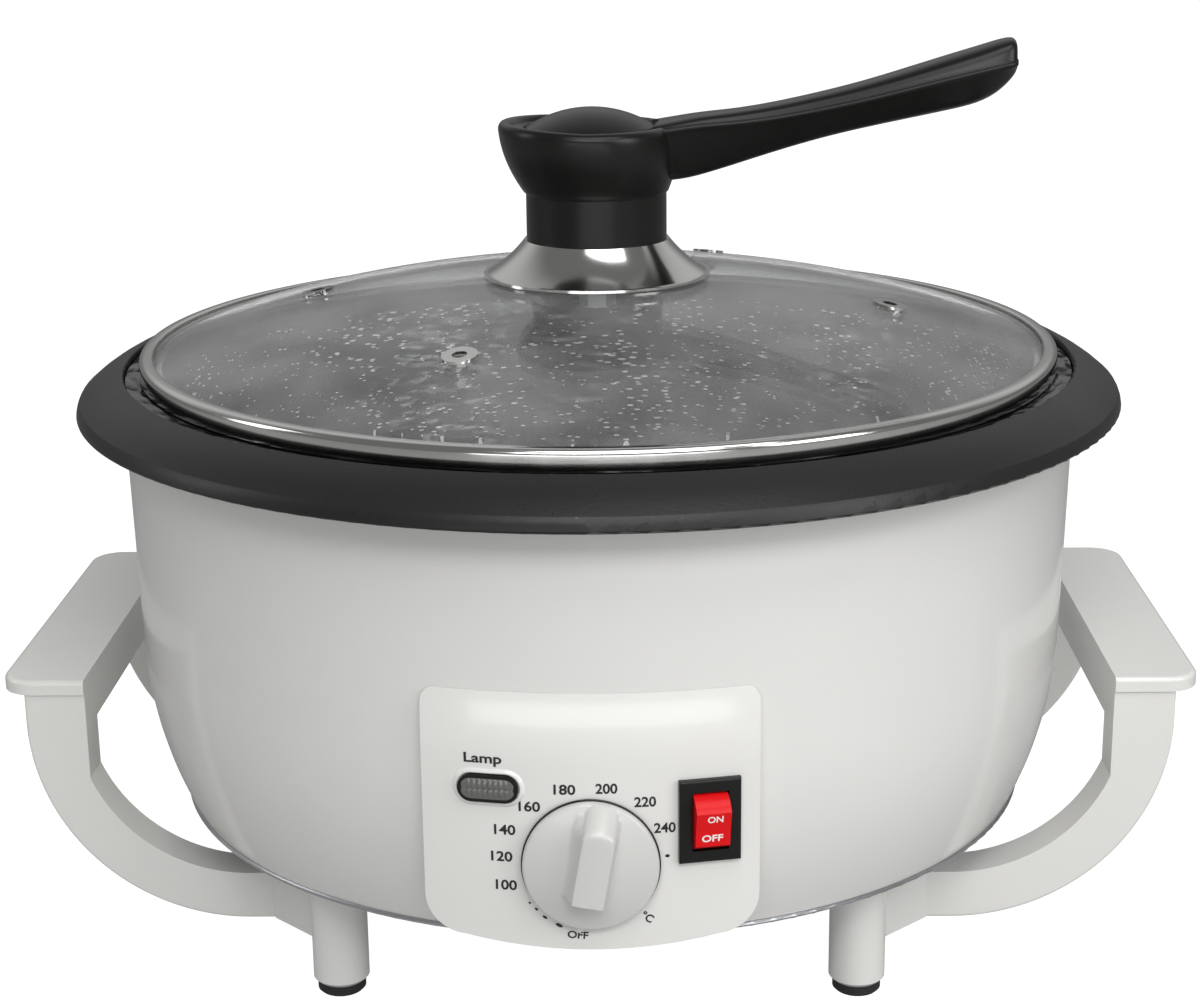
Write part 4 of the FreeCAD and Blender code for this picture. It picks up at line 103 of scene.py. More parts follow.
class Slot(Enum):
    """The record's material slots."""

    WHITE_ENAMEL = "white_enamel"
    IVORY_PLASTIC = "ivory_plastic"
    BLACK_ENAMEL = "black_enamel"
    NONSTICK = "nonstick_coating"
    BLACK_PLASTIC = "black_plastic"
    RED_PLASTIC = "red_plastic"
    SMOKED_LENS = "smoked_lens"
    LAMP_GLASS = "lamp_glass"
    LID_GLASS = "lid_glass"
    POLISHED_STEEL = "polished_steel"
    ZINC_STEEL = "zinc_steel"
    ALUMINISED = "aluminised_steel"
    HEATER_SHEATH = "heater_sheath"
    BRONZE = "bronze"
    MOTOR_PAINT = "motor_paint"
    RUBBER = "rubber"
    CERAMIC = "ceramic"


class Body(Enum):
    """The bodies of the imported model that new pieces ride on."""

    COOKER = "cooker"
    DIAL = "dial"
    ROCKER = "rocker"
    LID = "lid"


# ---------------------------------------------------------------- shader maths


class Tone:
    """A value or colour that changes over a surface: one output socket, for use in expressions."""

    def __init__(self, recipe: "Recipe", socket: bpy.types.NodeSocket) -> None:
        """Wraps a socket.

        Args:
            recipe: the finish whose tree holds the socket.
            socket: the output socket.
        """
        self.recipe = recipe
        self.socket = socket

    def _join(self, operation: str, left: object, right: object = 0.0) -> "Tone":
        """Adds one Math node.

        Args:
            operation: the node's operation.
            left: its first value, a Tone or a number.
            right: its second value, a Tone or a number.

        Returns:
            The node's output.
        """
        return self.recipe.node("ShaderNodeMath", {"operation": operation}, {0: left, 1: right})

    def __add__(self, other: object) -> "Tone":
        """This value plus another."""
        return self._join("ADD", self, other)

    def __sub__(self, other: object) -> "Tone":
        """This value less another."""
        return self._join("SUBTRACT", self, other)

    def __rsub__(self, other: object) -> "Tone":
        """A number less this value."""
        return self._join("SUBTRACT", other, self)

    def __mul__(self, other: object) -> "Tone":
        """This value times another."""
        return self._join("MULTIPLY", self, other)

    def __truediv__(self, other: object) -> "Tone":
        """This value over another."""
        return self._join("DIVIDE", self, other)

    def __pow__(self, other: object) -> "Tone":
        """This value raised to a power."""
        return self._join("POWER", self, other)

    def __gt__(self, other: object) -> "Tone":
        """1 where this value is above another, else 0."""
        return self._join("GREATER_THAN", self, other)

    def __lt__(self, other: object) -> "Tone":
        """1 where this value is below another, else 0."""
        return self._join("LESS_THAN", self, other)

    def spread(self, low: float, high: float, to_low: float, to_high: float) -> "Tone":
        """Maps a range of this value to another, held at its ends.

        Args:
            low: the value that becomes to_low.
            high: the value that becomes to_high.
            to_low: the result at low.
            to_high: the result at high.

        Returns:
            The mapped value.
        """
        ends = {"From Min": low, "From Max": high, "To Min": to_low, "To Max": to_high}
        return self.recipe.node("ShaderNodeMapRange", {"clamp": True}, {"Value": self, **ends})


class Recipe:
    """The shader tree of one finish, built around a Principled shader.

    Attributes:
        TURN_RADIUS: distance from the axis where a pattern round it has its true size, in metres.
        MIX_INPUTS: the Mix node's sockets for the share and for two colours.
        MIX_RESULT: its socket for the blended colour.
    """

    TURN_RADIUS = 0.1
    MIX_INPUTS = (0, 6, 7)
    MIX_RESULT = 2

    def __init__(self, name: str) -> None:
        """Starts a material.

        Args:
            name: the finish's name.
        """
        self.material = bpy.data.materials.new(name)
        self.material.use_nodes = True
        self.tree = self.material.node_tree
        self.tree.nodes.clear()
        self.shader = self.tree.nodes.new("ShaderNodeBsdfPrincipled")
        self.output = self.tree.nodes.new("ShaderNodeOutputMaterial")
        self.show(Tone(self, self.shader.outputs[0]))
        self.place = self.node("ShaderNodeTexCoord", output="Object")

    def node(
        self,
        kind: str,
        settings: Optional[dict] = None,
        values: Optional[dict] = None,
        output: object = 0,
    ) -> Tone:
        """Adds any node.

        Args:
            kind: the node's type.
            settings: its own settings, set first.
            values: the value or the Tone of each input socket.
            output: the output socket that is wanted.

        Returns:
            That output.
        """
        made = self.tree.nodes.new(kind)
        for key, value in (settings or {}).items():
            setattr(made, key, value)
        for key, value in (values or {}).items():
            self.feed(made.inputs[key], value)
        return Tone(self, made.outputs[output])

    def feed(self, socket: bpy.types.NodeSocket, value: object) -> None:
        """Gives a socket a value or a link."""
        if isinstance(value, Tone):
            self.tree.links.new(value.socket, socket)
        else:
            socket.default_value = value

    def set(self, **values: object) -> None:
        """Sets the Principled shader's sockets, named with underscores for spaces."""
        for key, value in values.items():
            self.feed(self.shader.inputs[key.replace("_", " ")], value)

    def show(self, shader: Tone) -> None:
        """Makes a shader the finish's surface."""
        self.tree.links.new(shader.socket, self.output.inputs["Surface"])

    def around(self, stretch: Sequence[float]) -> Tone:
        """The surface's place as distance from the axis, way round it and height.

        Args:
            stretch: how much longer a pattern comes out along each of these.

        Returns:
            The place, for a texture's Vector.
        """
        across, along, height = (
            self.node("ShaderNodeSeparateXYZ", None, {"Vector": self.place}, axis) for axis in "XYZ"
        )
        reach = (across * across + along * along) ** 0.5
        turn = self.node("ShaderNodeMath", {"operation": "ARCTAN2"}, {0: along, 1: across})
        values = (reach / stretch[0], turn * (self.TURN_RADIUS / stretch[1]), height / stretch[2])
        return self.node("ShaderNodeCombineXYZ", None, dict(zip("XYZ", values)))

    def noise(
        self, size: float, detail: float = 2.0, stretch: Optional[Sequence[float]] = None
    ) -> Tone:
        """Soft noise over the surface.

        Args:
            size: the size of its patches, in metres.
            detail: its octaves.
            stretch: how much longer the patches are along each axis.

        Returns:
            A value around 0.5.
        """
        values = {"Vector": self.stretched(stretch), "Scale": 1.0 / size, "Detail": detail}
        return self.node("ShaderNodeTexNoise", {"noise_dimensions": "3D"}, values)

    def cells(self, size: float, smooth: float = 0.0, place: Optional[Tone] = None) -> Tone:
        """Distance to the nearest of scattered points.

        Args:
            size: how far apart the points lie, in metres.
            smooth: how much the cells run into each other.
            place: the place on the surface, if it isn't the plain one.

        Returns:
            The distance, in cell sizes.
        """
        settings = {"feature": "SMOOTH_F1" if smooth else "F1"}
        values = {"Vector": place or self.place, "Scale": 1.0 / size}
        if smooth:
            values["Smoothness"] = smooth
        return self.node("ShaderNodeTexVoronoi", settings, values, "Distance")

    def stretched(self, stretch: Optional[Sequence[float]]) -> Tone:
        """The surface's own place, shrunk along each axis so that a pattern comes out longer."""
        if stretch is None:
            return self.place
        scale = tuple(1.0 / share for share in stretch)
        settings = {"vector_type": "POINT"}
        return self.node("ShaderNodeMapping", settings, {"Vector": self.place, "Scale": scale})

    def height_above(self) -> Tone:
        """Height above the table, in metres."""
        return self.node("ShaderNodeSeparateXYZ", values={"Vector": self.place}, output="Z")

    def mix_colours(self, share: Tone, low: Sequence[float], high: Sequence[float]) -> Tone:
        """Blends two colours.

        Args:
            share: 0 for the first colour, 1 for the second.
            low: the first colour.
            high: the second colour.

        Returns:
            The blended colour.
        """
        made = self.tree.nodes.new("ShaderNodeMix")
        made.data_type = "RGBA"
        for place, value in zip(self.MIX_INPUTS, (share, (*low, 1.0), (*high, 1.0))):
            self.feed(made.inputs[place], value)
        return Tone(self, made.outputs[self.MIX_RESULT])

    def bump(
        self, height: Tone, depth: float, strength: float = 1.0, below: Optional[Tone] = None
    ) -> Tone:
        """Turns a height into a bump.

        Args:
            height: the height, 0 to 1.
            depth: what 1 stands for, in metres.
            strength: how strongly it shows.
            below: a bump that this one lies on.

        Returns:
            The bumped normal.
        """
        values = {"Height": height, "Distance": depth, "Strength": strength}
        if below is not None:
            values["Normal"] = below
        return self.node("ShaderNodeBump", None, values)


# ---------------------------------------------------------------- finishes


@dataclass(frozen=True)
class Finish:
    """A plain moulded or painted finish with slight unevenness.

    Attributes:
        name: what the finish is called.
        colour: its main colour.
        dull: its roughness.
        shade: how much the colour varies.
        grain: size of its fine texture, in metres.
        grain_depth: depth of that texture, in metres.
        coat: weight of a clear coat.
        shine: how strongly the surface itself reflects, 0.5 for common plastics.
        PATCH: size of the soft patches that vary every finish, in metres.
        PATCH_DULL: how much they vary the roughness.
        FINE_DULL: how much the fine texture varies it.
        COAT_DULL: roughness of the clear coat.
    """

    PATCH = 0.03
    PATCH_DULL = 0.08
    FINE_DULL = 0.05
    COAT_DULL = 0.06

    name: str
    colour: tuple
    dull: float
    shade: float = 0.04
    grain: float = 0.0006
    grain_depth: float = 0.00001
    coat: float = 0.0
    shine: float = 0.5

    def make(self) -> bpy.types.Material:
        """Builds the material."""
        recipe = Recipe(self.name)
        patches = recipe.noise(self.PATCH, detail=3.0)
        fine = recipe.noise(self.grain)
        darker = tuple(part * (1.0 - self.shade) for part in self.colour)
        least = self.dull - (self.PATCH_DULL + self.FINE_DULL) / 2.0
        rough = patches * self.PATCH_DULL + fine * self.FINE_DULL + least
        recipe.set(
            Base_Color=recipe.mix_colours(patches, darker, self.colour),
            Roughness=rough,
            Coat_Weight=self.coat,
            Coat_Roughness=self.COAT_DULL,
            Specular_IOR_Level=self.shine,
            Normal=recipe.bump(fine, self.grain_depth),
        )
        self.refine(recipe, patches, fine)
        return recipe.material

    def refine(self, recipe: Recipe, patches: Tone, fine: Tone) -> None:
        """Lets a special finish add to the plain one."""


@dataclass(frozen=True)
class Enamel(Finish):
    """Stoved enamel: glossy, with the faint ripple that it dries with.

    Attributes:
        RIPPLE: size of the ripple, in metres.
        RIPPLE_DEPTH: its depth, in metres.
    """

    RIPPLE = 0.012
    RIPPLE_DEPTH = 0.00003

    def refine(self, recipe: Recipe, patches: Tone, fine: Tone) -> None:
        """Adds the ripple under the fine texture."""
        ripple = recipe.noise(self.RIPPLE, detail=1.0)
        surface = recipe.bump(ripple, self.RIPPLE_DEPTH, strength=0.6)
        recipe.set(Normal=recipe.bump(fine, self.grain_depth, strength=0.5, below=surface))


@dataclass(frozen=True)
class SandedPlastic(Finish):
    """Heat-proof black moulding with a fine sandy grain that glints.

    Attributes:
        SAND: size of the sandy grain, in metres.
        SAND_DEPTH: its depth, in metres.
        SAND_DULL: how much the soft patches vary its roughness.
        GLINT: size of the patches in which grains glint, in metres.
        GLINT_FROM: level of those patches above which they do.
        GLINT_REACH: how much of a grain glints, in grain sizes.
        GLINT_SHINE: how much smoother a glint is.
    """

    SAND = 0.0011
    SAND_DEPTH = 0.00005
    SAND_DULL = 0.1
    GLINT = 0.0016
    GLINT_FROM = 0.66
    GLINT_REACH = 0.3
    GLINT_SHINE = 0.14

    def refine(self, recipe: Recipe, patches: Tone, fine: Tone) -> None:
        """Adds the grain and its scattered glints."""
        sand = recipe.cells(self.SAND)
        often = recipe.noise(self.GLINT, detail=1.0)
        glint = (often > self.GLINT_FROM) * (sand < self.GLINT_REACH)
        surface = recipe.bump(sand, self.SAND_DEPTH, strength=0.5)
        rough = patches * self.SAND_DULL + (self.dull - self.SAND_DULL / 2.0)
        recipe.set(
            Roughness=rough - glint * self.GLINT_SHINE,
            Normal=recipe.bump(fine, self.grain_depth, strength=0.6, below=surface),
        )


@dataclass(frozen=True)
class Nonstick(Finish):
    """Black non-stick coating over a hammered sheet.

    Attributes:
        painted_glints_below: height above the table up to which glints are painted into the
            coating's colour, in metres.
        HAMMERED: size, blending, length and depth of the large and of the small dimples.
        PAINTED_GLINT: size of the painted glints, light dashes in the base colour that stand for
            sparkle, in metres.
        PAINTED_GLINT_LENGTH: how much longer they are round the pan.
        PAINTED_GLINT_PATCH: size of the patches in which they crowd, in metres.
        PAINTED_GLINT_SPREAD: how strongly those patches widen a glint, and how much comes off
            again.
        PAINTED_GLINT_COLOUR: their colour, a painted highlight.
        COATING_DULL: how much the soft patches vary the roughness.
    """

    HAMMERED = ((0.0058, 0.3, 1.9, 0.0016), (0.0024, 0.15, 2.4, 0.0006))
    # Painted glints: light dashes laid into the coating's colour stand for sparkle, a painted
    # highlight.
    PAINTED_GLINT = 0.0012
    PAINTED_GLINT_LENGTH = 3.0
    PAINTED_GLINT_PATCH = 0.02
    PAINTED_GLINT_SPREAD = (0.66, 0.14)
    PAINTED_GLINT_COLOUR = (0.4, 0.4, 0.39)
    COATING_DULL = 0.12

    # Height up to which the painted glints are laid into the colour.
    painted_glints_below: float = 0.1755

    def refine(self, recipe: Recipe, patches: Tone, fine: Tone) -> None:
        """Adds the hammered dimples and painted glints: long light dashes in the base colour that
        stand for sparkle.
        """
        surface = None
        for size, blend, length, depth in self.HAMMERED:
            dimples = recipe.cells(size, blend, recipe.around((1.0, length, 1.0)))
            surface = recipe.bump(dimples, depth, strength=0.9, below=surface)
        # Painted highlight: light dashes in the base colour, below a height, stand for glints of
        # light.
        dashes = recipe.cells(self.PAINTED_GLINT, 0.0, recipe.around((1.0, self.PAINTED_GLINT_LENGTH, 1.0)))
        wider, less = self.PAINTED_GLINT_SPREAD
        glint_zone = recipe.height_above() < self.painted_glints_below
        painted_glints = (dashes < (recipe.noise(self.PAINTED_GLINT_PATCH) * wider - less)) * glint_zone
        recipe.set(
            Base_Color=recipe.mix_colours(painted_glints, self.colour, self.PAINTED_GLINT_COLOUR),
            Roughness=patches * self.COATING_DULL + (self.dull - self.COATING_DULL / 2.0),
            Normal=surface,
        )


@dataclass(frozen=True)
class Steel(Finish):
    """Bare or plated metal.

    Attributes:
        brushed: depth of its brushing, in metres, round the upright axis.
        SMEAR: size of its faint smears, in metres.
        SMEAR_DULL: how much they vary the roughness.
        BRUSH: width of a brushed line, in metres.
        BRUSH_STRETCH: how much longer the lines are along each axis.
    """

    SMEAR = 0.008
    SMEAR_DULL = 0.1
    BRUSH = 0.0004
    BRUSH_STRETCH = (18.0, 18.0, 0.6)

    brushed: float = 0.0

    def refine(self, recipe: Recipe, patches: Tone, fine: Tone) -> None:
        """Makes it metal, with brushing and faint smears."""
        rough = recipe.noise(self.SMEAR, detail=3.0) * self.SMEAR_DULL
        values = {"Metallic": 1.0, "Roughness": rough + (self.dull - self.SMEAR_DULL / 2.0)}
        if self.brushed:
            lines = recipe.noise(self.BRUSH, detail=1.0, stretch=self.BRUSH_STRETCH)
            values["Normal"] = recipe.bump(lines, self.brushed, strength=0.5)
        recipe.set(**values)


@dataclass(frozen=True)
class ClearGlass(Finish):
    """Clear glass that lets the lamps reach what is behind it.

    Attributes:
        tint: what passes through it.
        bend: its index of refraction.
        haze: share of a faint white film on it.
        RIPPLE: size of the ripple in its surface, in metres.
        RIPPLE_DEPTH: its depth, in metres.
        FILM_PATCH: size of the patches in the film, in metres.
        FILM_LEVELS: the patches' lowest and highest level, and what they make of the haze.
        FILM_COLOUR: the film's colour.
    """

    RIPPLE = 0.05
    RIPPLE_DEPTH = 0.0001
    FILM_PATCH = 0.03
    FILM_LEVELS = (0.3, 0.7, 0.5, 1.5)
    FILM_COLOUR = (0.9, 0.9, 0.9, 1.0)

    tint: tuple = (1.0, 1.0, 1.0)
    bend: float = 1.5
    haze: float = 0.0

    def make(self) -> bpy.types.Material:
        """Builds the material: glass, with a film on it, open to light from the lamps."""
        recipe = Recipe(self.name)
        ripple = recipe.noise(self.RIPPLE, detail=1.0)
        recipe.set(
            Base_Color=(*self.tint, 1.0),
            Transmission_Weight=1.0,
            IOR=self.bend,
            Roughness=self.dull,
            Normal=recipe.bump(ripple, self.RIPPLE_DEPTH, strength=0.3),
        )
        patches = recipe.noise(self.FILM_PATCH, detail=3.0)
        smears = patches.spread(*self.FILM_LEVELS) * self.haze
        film = recipe.node("ShaderNodeBsdfDiffuse", None, {"Color": self.FILM_COLOUR})
        body = Tone(recipe, recipe.shader.outputs[0])
        filmed = recipe.node("ShaderNodeMixShader", None, {0: smears, 1: body, 2: film})
        to_lamps = recipe.node("ShaderNodeLightPath", output="Is Shadow Ray")
        clear = recipe.node("ShaderNodeBsdfTransparent", None, {"Color": (*self.tint, 1.0)})
        recipe.show(recipe.node("ShaderNodeMixShader", None, {0: to_lamps, 1: filmed, 2: clear}))
        return recipe.material


# The knob's finish: a darker copy of the ivory plastic, painted shade that shows the same plastic
# greyer.
KNOB_PAINTED_SHADE_FINISH = Finish("knob_painted_shade_finish", (0.6, 0.597, 0.58), 0.3, 0.03, coat=0.3, shine=0.6)

FINISHES = {
    Slot.WHITE_ENAMEL: Enamel("white_enamel_finish", (0.74, 0.735, 0.715), 0.2, 0.03, coat=0.5),
    Slot.IVORY_PLASTIC: Finish(
        "ivory_plastic_finish", (0.76, 0.755, 0.73), 0.24, 0.03, coat=0.5, shine=0.8
    ),
    Slot.BLACK_ENAMEL: SandedPlastic(
        "black_ring_finish", (0.012, 0.012, 0.0117), 0.4, shine=0.36
    ),
    Slot.NONSTICK: Nonstick("nonstick_finish", (0.012, 0.012, 0.012), 0.16),
    Slot.BLACK_PLASTIC: Finish("black_handle_finish", (0.0075, 0.0075, 0.007), 0.3, 0.2, shine=0.3),
    Slot.RED_PLASTIC: Finish("red_rocker_finish", (0.72, 0.006, 0.009), 0.3, 0.05, shine=0.2),
    Slot.SMOKED_LENS: Finish("lamp_lens_finish", (0.13, 0.13, 0.12), 0.14, 0.2, coat=0.6),
    Slot.LAMP_GLASS: ClearGlass("neon_glass", (0.9, 0.7, 0.6), 0.02, tint=(0.9, 0.7, 0.6)),
    Slot.LID_GLASS: ClearGlass(
        "lid_glass_finish", (0.9, 0.9, 0.9), 0.0, tint=(0.955, 0.97, 0.962), bend=1.16, haze=0.05
    ),
    Slot.POLISHED_STEEL: Steel(
        "polished_steel_finish", (0.62, 0.615, 0.6), 0.13, 0.02, brushed=0.000003
    ),
    Slot.ZINC_STEEL: Steel("zinc_steel_finish", (0.52, 0.53, 0.55), 0.34, 0.15),
    Slot.ALUMINISED: Steel("aluminised_finish", (0.62, 0.63, 0.64), 0.3, 0.1),
    Slot.HEATER_SHEATH: Steel("heater_sheath_finish", (0.16, 0.155, 0.14), 0.45, 0.3),
    Slot.BRONZE: Steel("bronze_finish", (0.5, 0.32, 0.14), 0.38, 0.15),
    Slot.MOTOR_PAINT: Finish("motor_paint_finish", (0.14, 0.15, 0.16), 0.4, 0.1),
    Slot.RUBBER: Finish("rubber_finish", (0.016, 0.016, 0.016), 0.75, 0.2, grain_depth=0.00003),
    Slot.CERAMIC: Finish("terminal_finish", (0.78, 0.75, 0.68), 0.6, 0.05),
}


class Paintbox:
    """Makes each finish once and hands it out."""

    def __init__(self) -> None:
        """Starts empty."""
        self._made: dict = {}

    def finish(self, slot: Slot) -> bpy.types.Material:
        """The material of a slot, made on first use."""
        if slot not in self._made:
            self._made[slot] = FINISHES[slot].make()
        return self._made[slot]

    def special(self, finish: Finish) -> bpy.types.Material:
        """A finish that has no slot of its own, made on first use."""
        if finish.name not in self._made:
            self._made[finish.name] = finish.make()
        return self._made[finish.name]

    def ink(self, name: str, colour: tuple) -> bpy.types.Material:
        """A printing ink."""
        return self.special(Finish(name, colour, dull=0.45, shade=0.1))

    def paint(self, obj: bpy.types.Object, material: bpy.types.Material) -> None:
        """Gives a piece one material in place of what it has."""
        if not obj.material_slots:
            obj.data.materials.append(material)
        for place in obj.material_slots:
            place.link = "OBJECT"
            place.material = material


# ---------------------------------------------------------------- modelling steps


class Bench:
    """Modelling steps that the sub-assemblies share.

    Attributes:
        STROKE: how much the strokes of printed letters are thickened, in letter sizes.
    """

    STROKE = 0.022

    @staticmethod
    def clear() -> None:
        """Goes to object mode and deselects everything."""
        if bpy.context.object and bpy.context.object.mode != "OBJECT":
            bpy.ops.object.mode_set(mode="OBJECT")
        bpy.ops.object.select_all(action="DESELECT")

    @staticmethod
    def name(obj: bpy.types.Object, name: str) -> bpy.types.Object:
        """Names an object and its data."""
        obj.name = name
        obj.data.name = name
        return obj

    @staticmethod
    def start(name: str, corners: int) -> bpy.types.Object:
        """Adds a ring of edges and goes into edit mode on it, its corners numbered in order.

        Args:
            name: the piece's name.
            corners: how many corners the ring has.

        Returns:
            The piece, in edit mode with all of it selected.
        """
        Bench.clear()
        bpy.ops.mesh.primitive_circle_add(vertices=corners, radius=0.01, fill_type="NOTHING")
        made = Bench.name(bpy.context.object, name)
        seat = made.data.attributes.new("seat", "INT", "POINT")
        for number in range(corners):
            seat.data[number].value = number
        bpy.ops.object.mode_set(mode="EDIT")
        bpy.ops.mesh.select_all(action="SELECT")
        return made

    @staticmethod
    def seat_selected(obj: bpy.types.Object, places: Sequence[Sequence[float]]) -> None:
        """Moves each selected corner to the place that its number has.

        Args:
            obj: the piece, in edit mode.
            places: one place for each number.
        """
        mesh = bmesh.from_edit_mesh(obj.data)
        seat = mesh.verts.layers.int["seat"]
        for vertex in mesh.verts:
            if vertex.select:
                vertex.co = places[vertex[seat]]
        bmesh.update_edit_mesh(obj.data)

    @staticmethod
    def skin(
        name: str, sections: Sequence[Sequence[Sequence[float]]], capped: bool = True
    ) -> bpy.types.Object:
        """Extrudes a closed section from place to place.

        Args:
            name: the piece's name.
            sections: the corners of the section at each place, all in the same order.
            capped: whether both ends are closed.

        Returns:
            The piece, in object mode.
        """
        made = Bench.start(name, len(sections[0]))
        Bench.seat_selected(made, sections[0])
        if capped:
            bpy.ops.mesh.edge_face_add()
        for places in sections[1:]:
            bpy.ops.mesh.extrude_region_move()
            Bench.seat_selected(made, places)
        return Bench.close(made)

    @staticmethod
    def lathe(
        name: str, outline: Sequence[Sequence[float]], steps: int = 144, closed: bool = False
    ) -> bpy.types.Object:
        """Spins an outline round the upright axis.

        Args:
            name: the piece's name.
            outline: radius and height of each corner.
            steps: how many steps a full turn has.
            closed: whether the last corner joins the first.

        Returns:
            The piece, in object mode.
        """
        Bench.clear()
        bpy.ops.mesh.primitive_plane_add(size=0.001)
        made = Bench.name(bpy.context.object, name)
        bpy.ops.object.mode_set(mode="EDIT")
        bpy.ops.mesh.select_all(action="SELECT")
        bpy.ops.mesh.merge(type="CENTER")
        mesh = bmesh.from_edit_mesh(made.data)
        for vertex in mesh.verts:
            vertex.co = (outline[0][0], 0.0, outline[0][1])
        bmesh.update_edit_mesh(made.data)
        rounds = list(outline) + ([outline[0]] if closed else [])
        for before, after in zip(rounds, rounds[1:]):
            step = (after[0] - before[0], 0.0, after[1] - before[1])
            bpy.ops.mesh.extrude_region_move(TRANSFORM_OT_translate={"value": step})
        bpy.ops.mesh.select_all(action="SELECT")
        bpy.ops.mesh.spin(steps=steps, angle=math.tau, center=(0.0, 0.0, 0.0), axis=(0.0, 0.0, 1.0))
        return Bench.close(made)

    @staticmethod
    def close(obj: bpy.types.Object) -> bpy.types.Object:
        """Merges doubles, turns the faces outwards and leaves edit mode."""
        bpy.ops.mesh.select_all(action="SELECT")
        bpy.ops.mesh.remove_doubles(threshold=0.000001)
        bpy.ops.mesh.normals_make_consistent(inside=False)
        bpy.ops.object.mode_set(mode="OBJECT")
        return obj

    @staticmethod
    def modify(obj: bpy.types.Object, kind: str, **settings: object) -> None:
        """Adds a modifier with its settings and applies it."""
        Bench.clear()
        bpy.context.view_layer.objects.active = obj
        obj.select_set(True)
        modifier = obj.modifiers.new(kind.lower(), kind)
        for key, value in settings.items():
            setattr(modifier, key, value)
        bpy.ops.object.modifier_apply(modifier=modifier.name)

    @staticmethod
    def subdivide(obj: bpy.types.Object, levels: int) -> None:
        """Rounds a piece with a subdivision surface."""
        Bench.modify(obj, "SUBSURF", levels=levels, render_levels=levels)

    @staticmethod
    def combine(obj: bpy.types.Object, tool: bpy.types.Object, operation: str) -> None:
        """Joins a tool to a piece or cuts it out of it, and throws the tool away.

        Args:
            obj: the piece.
            tool: the other shape.
            operation: UNION or DIFFERENCE.
        """
        Bench.modify(obj, "BOOLEAN", object=tool, operation=operation, solver="MANIFOLD")
        bpy.data.objects.remove(tool)

    @staticmethod
    def smooth(obj: bpy.types.Object, angle: float = 32.0) -> None:
        """Shades a piece smooth, and keeps edges sharper than an angle, in degrees."""
        Bench.clear()
        bpy.context.view_layer.objects.active = obj
        obj.select_set(True)
        bpy.ops.object.shade_smooth_by_angle(angle=math.radians(angle))

    @staticmethod
    def lettering(words: str, width: float, height: float, proud: float) -> bpy.types.Object:
        """Makes words as a thin mesh, flat on XY and centred.

        Args:
            words: what is printed.
            width: width of the whole print, in metres.
            height: its height.
            proud: thickness of the print.

        Returns:
            The mesh, about the origin.
        """
        Bench.clear()
        bpy.ops.object.text_add(location=(0.0, 0.0, 0.0))
        made = bpy.context.object
        made.data.body = words
        made.data.size = 1.0
        made.data.offset = Bench.STROKE
        made.data.extrude = 0.5
        made.data.resolution_u = 6
        bpy.ops.object.convert(target="MESH")
        made = bpy.context.object
        places = [vertex.co.copy() for vertex in made.data.vertices]
        low = Vector([min(place[axis] for place in places) for axis in range(3)])
        high = Vector([max(place[axis] for place in places) for axis in range(3)])
        size = (width, height, proud)
        for vertex in made.data.vertices:
            share = [(vertex.co[axis] - low[axis]) / (high[axis] - low[axis]) for axis in range(3)]
            vertex.co = [(share[axis] - 0.5) * size[axis] for axis in range(3)]
        return made


# ---------------------------------------------------------------- sub-assemblies


@dataclass(frozen=True)
class Face:
    """The turned face of the control panel, with what sits on it.

    Attributes:
        radius: the face, about the upright axis.
        knob_height: the knob's axis above the table.
        lamp_height: middle of the pilot lamp.
        lamp_turn: the lamp to the left of the panel's middle, in degrees.
        switch_height: middle of the switch.
        switch_turn: the switch to the right of the panel's middle, in degrees.
    """

    radius: float = 153.0
    knob_height: float = 70.8
    lamp_height: float = 92.1
    lamp_turn: float = 10.36
    switch_height: float = 82.4
    switch_turn: float = 12.1

    def place(self, across: float, up: float, out: float) -> tuple:
        """A point on the curved face.

        Args:
            across: distance along the face to the right, in millimetres.
            up: height above the table.
            out: distance in front of the face.

        Returns:
            The point, in metres.
        """
        angle = across / self.radius
        reach = (self.radius + out) * MM
        return reach * math.sin(angle), -reach * math.cos(angle), up * MM

    def flat_place(self, turn: float, across: float, up: float, out: float) -> tuple:
        """A point in front of a flat that is swung round the bowl's axis.

        Args:
            turn: the flat to the right of the middle, in degrees.
            across: distance to the right of the flat's middle, in millimetres.
            up: height above the table.
            out: distance in front of the face.

        Returns:
            The point, in metres.
        """
        angle = math.radians(turn)
        reach = self.radius + out
        return (
            (reach * math.sin(angle) + across * math.cos(angle)) * MM,
            (across * math.sin(angle) - reach * math.cos(angle)) * MM,
            up * MM,
        )


FACE = Face()


@dataclass(frozen=True)
class Mark:
    """Something printed on the panel's face, placed from the knob's axis, in millimetres.

    Attributes:
        name: what the piece is called.
        words: what is printed.
        across: its middle, to the right.
        up: its middle, upwards.
        width: its width.
        height: its height.
        spin: its turn, clockwise, in degrees.
    """

    name: str
    words: str
    across: float
    up: float
    width: float = 5.9
    height: float = 2.95
    spin: float = 0.0


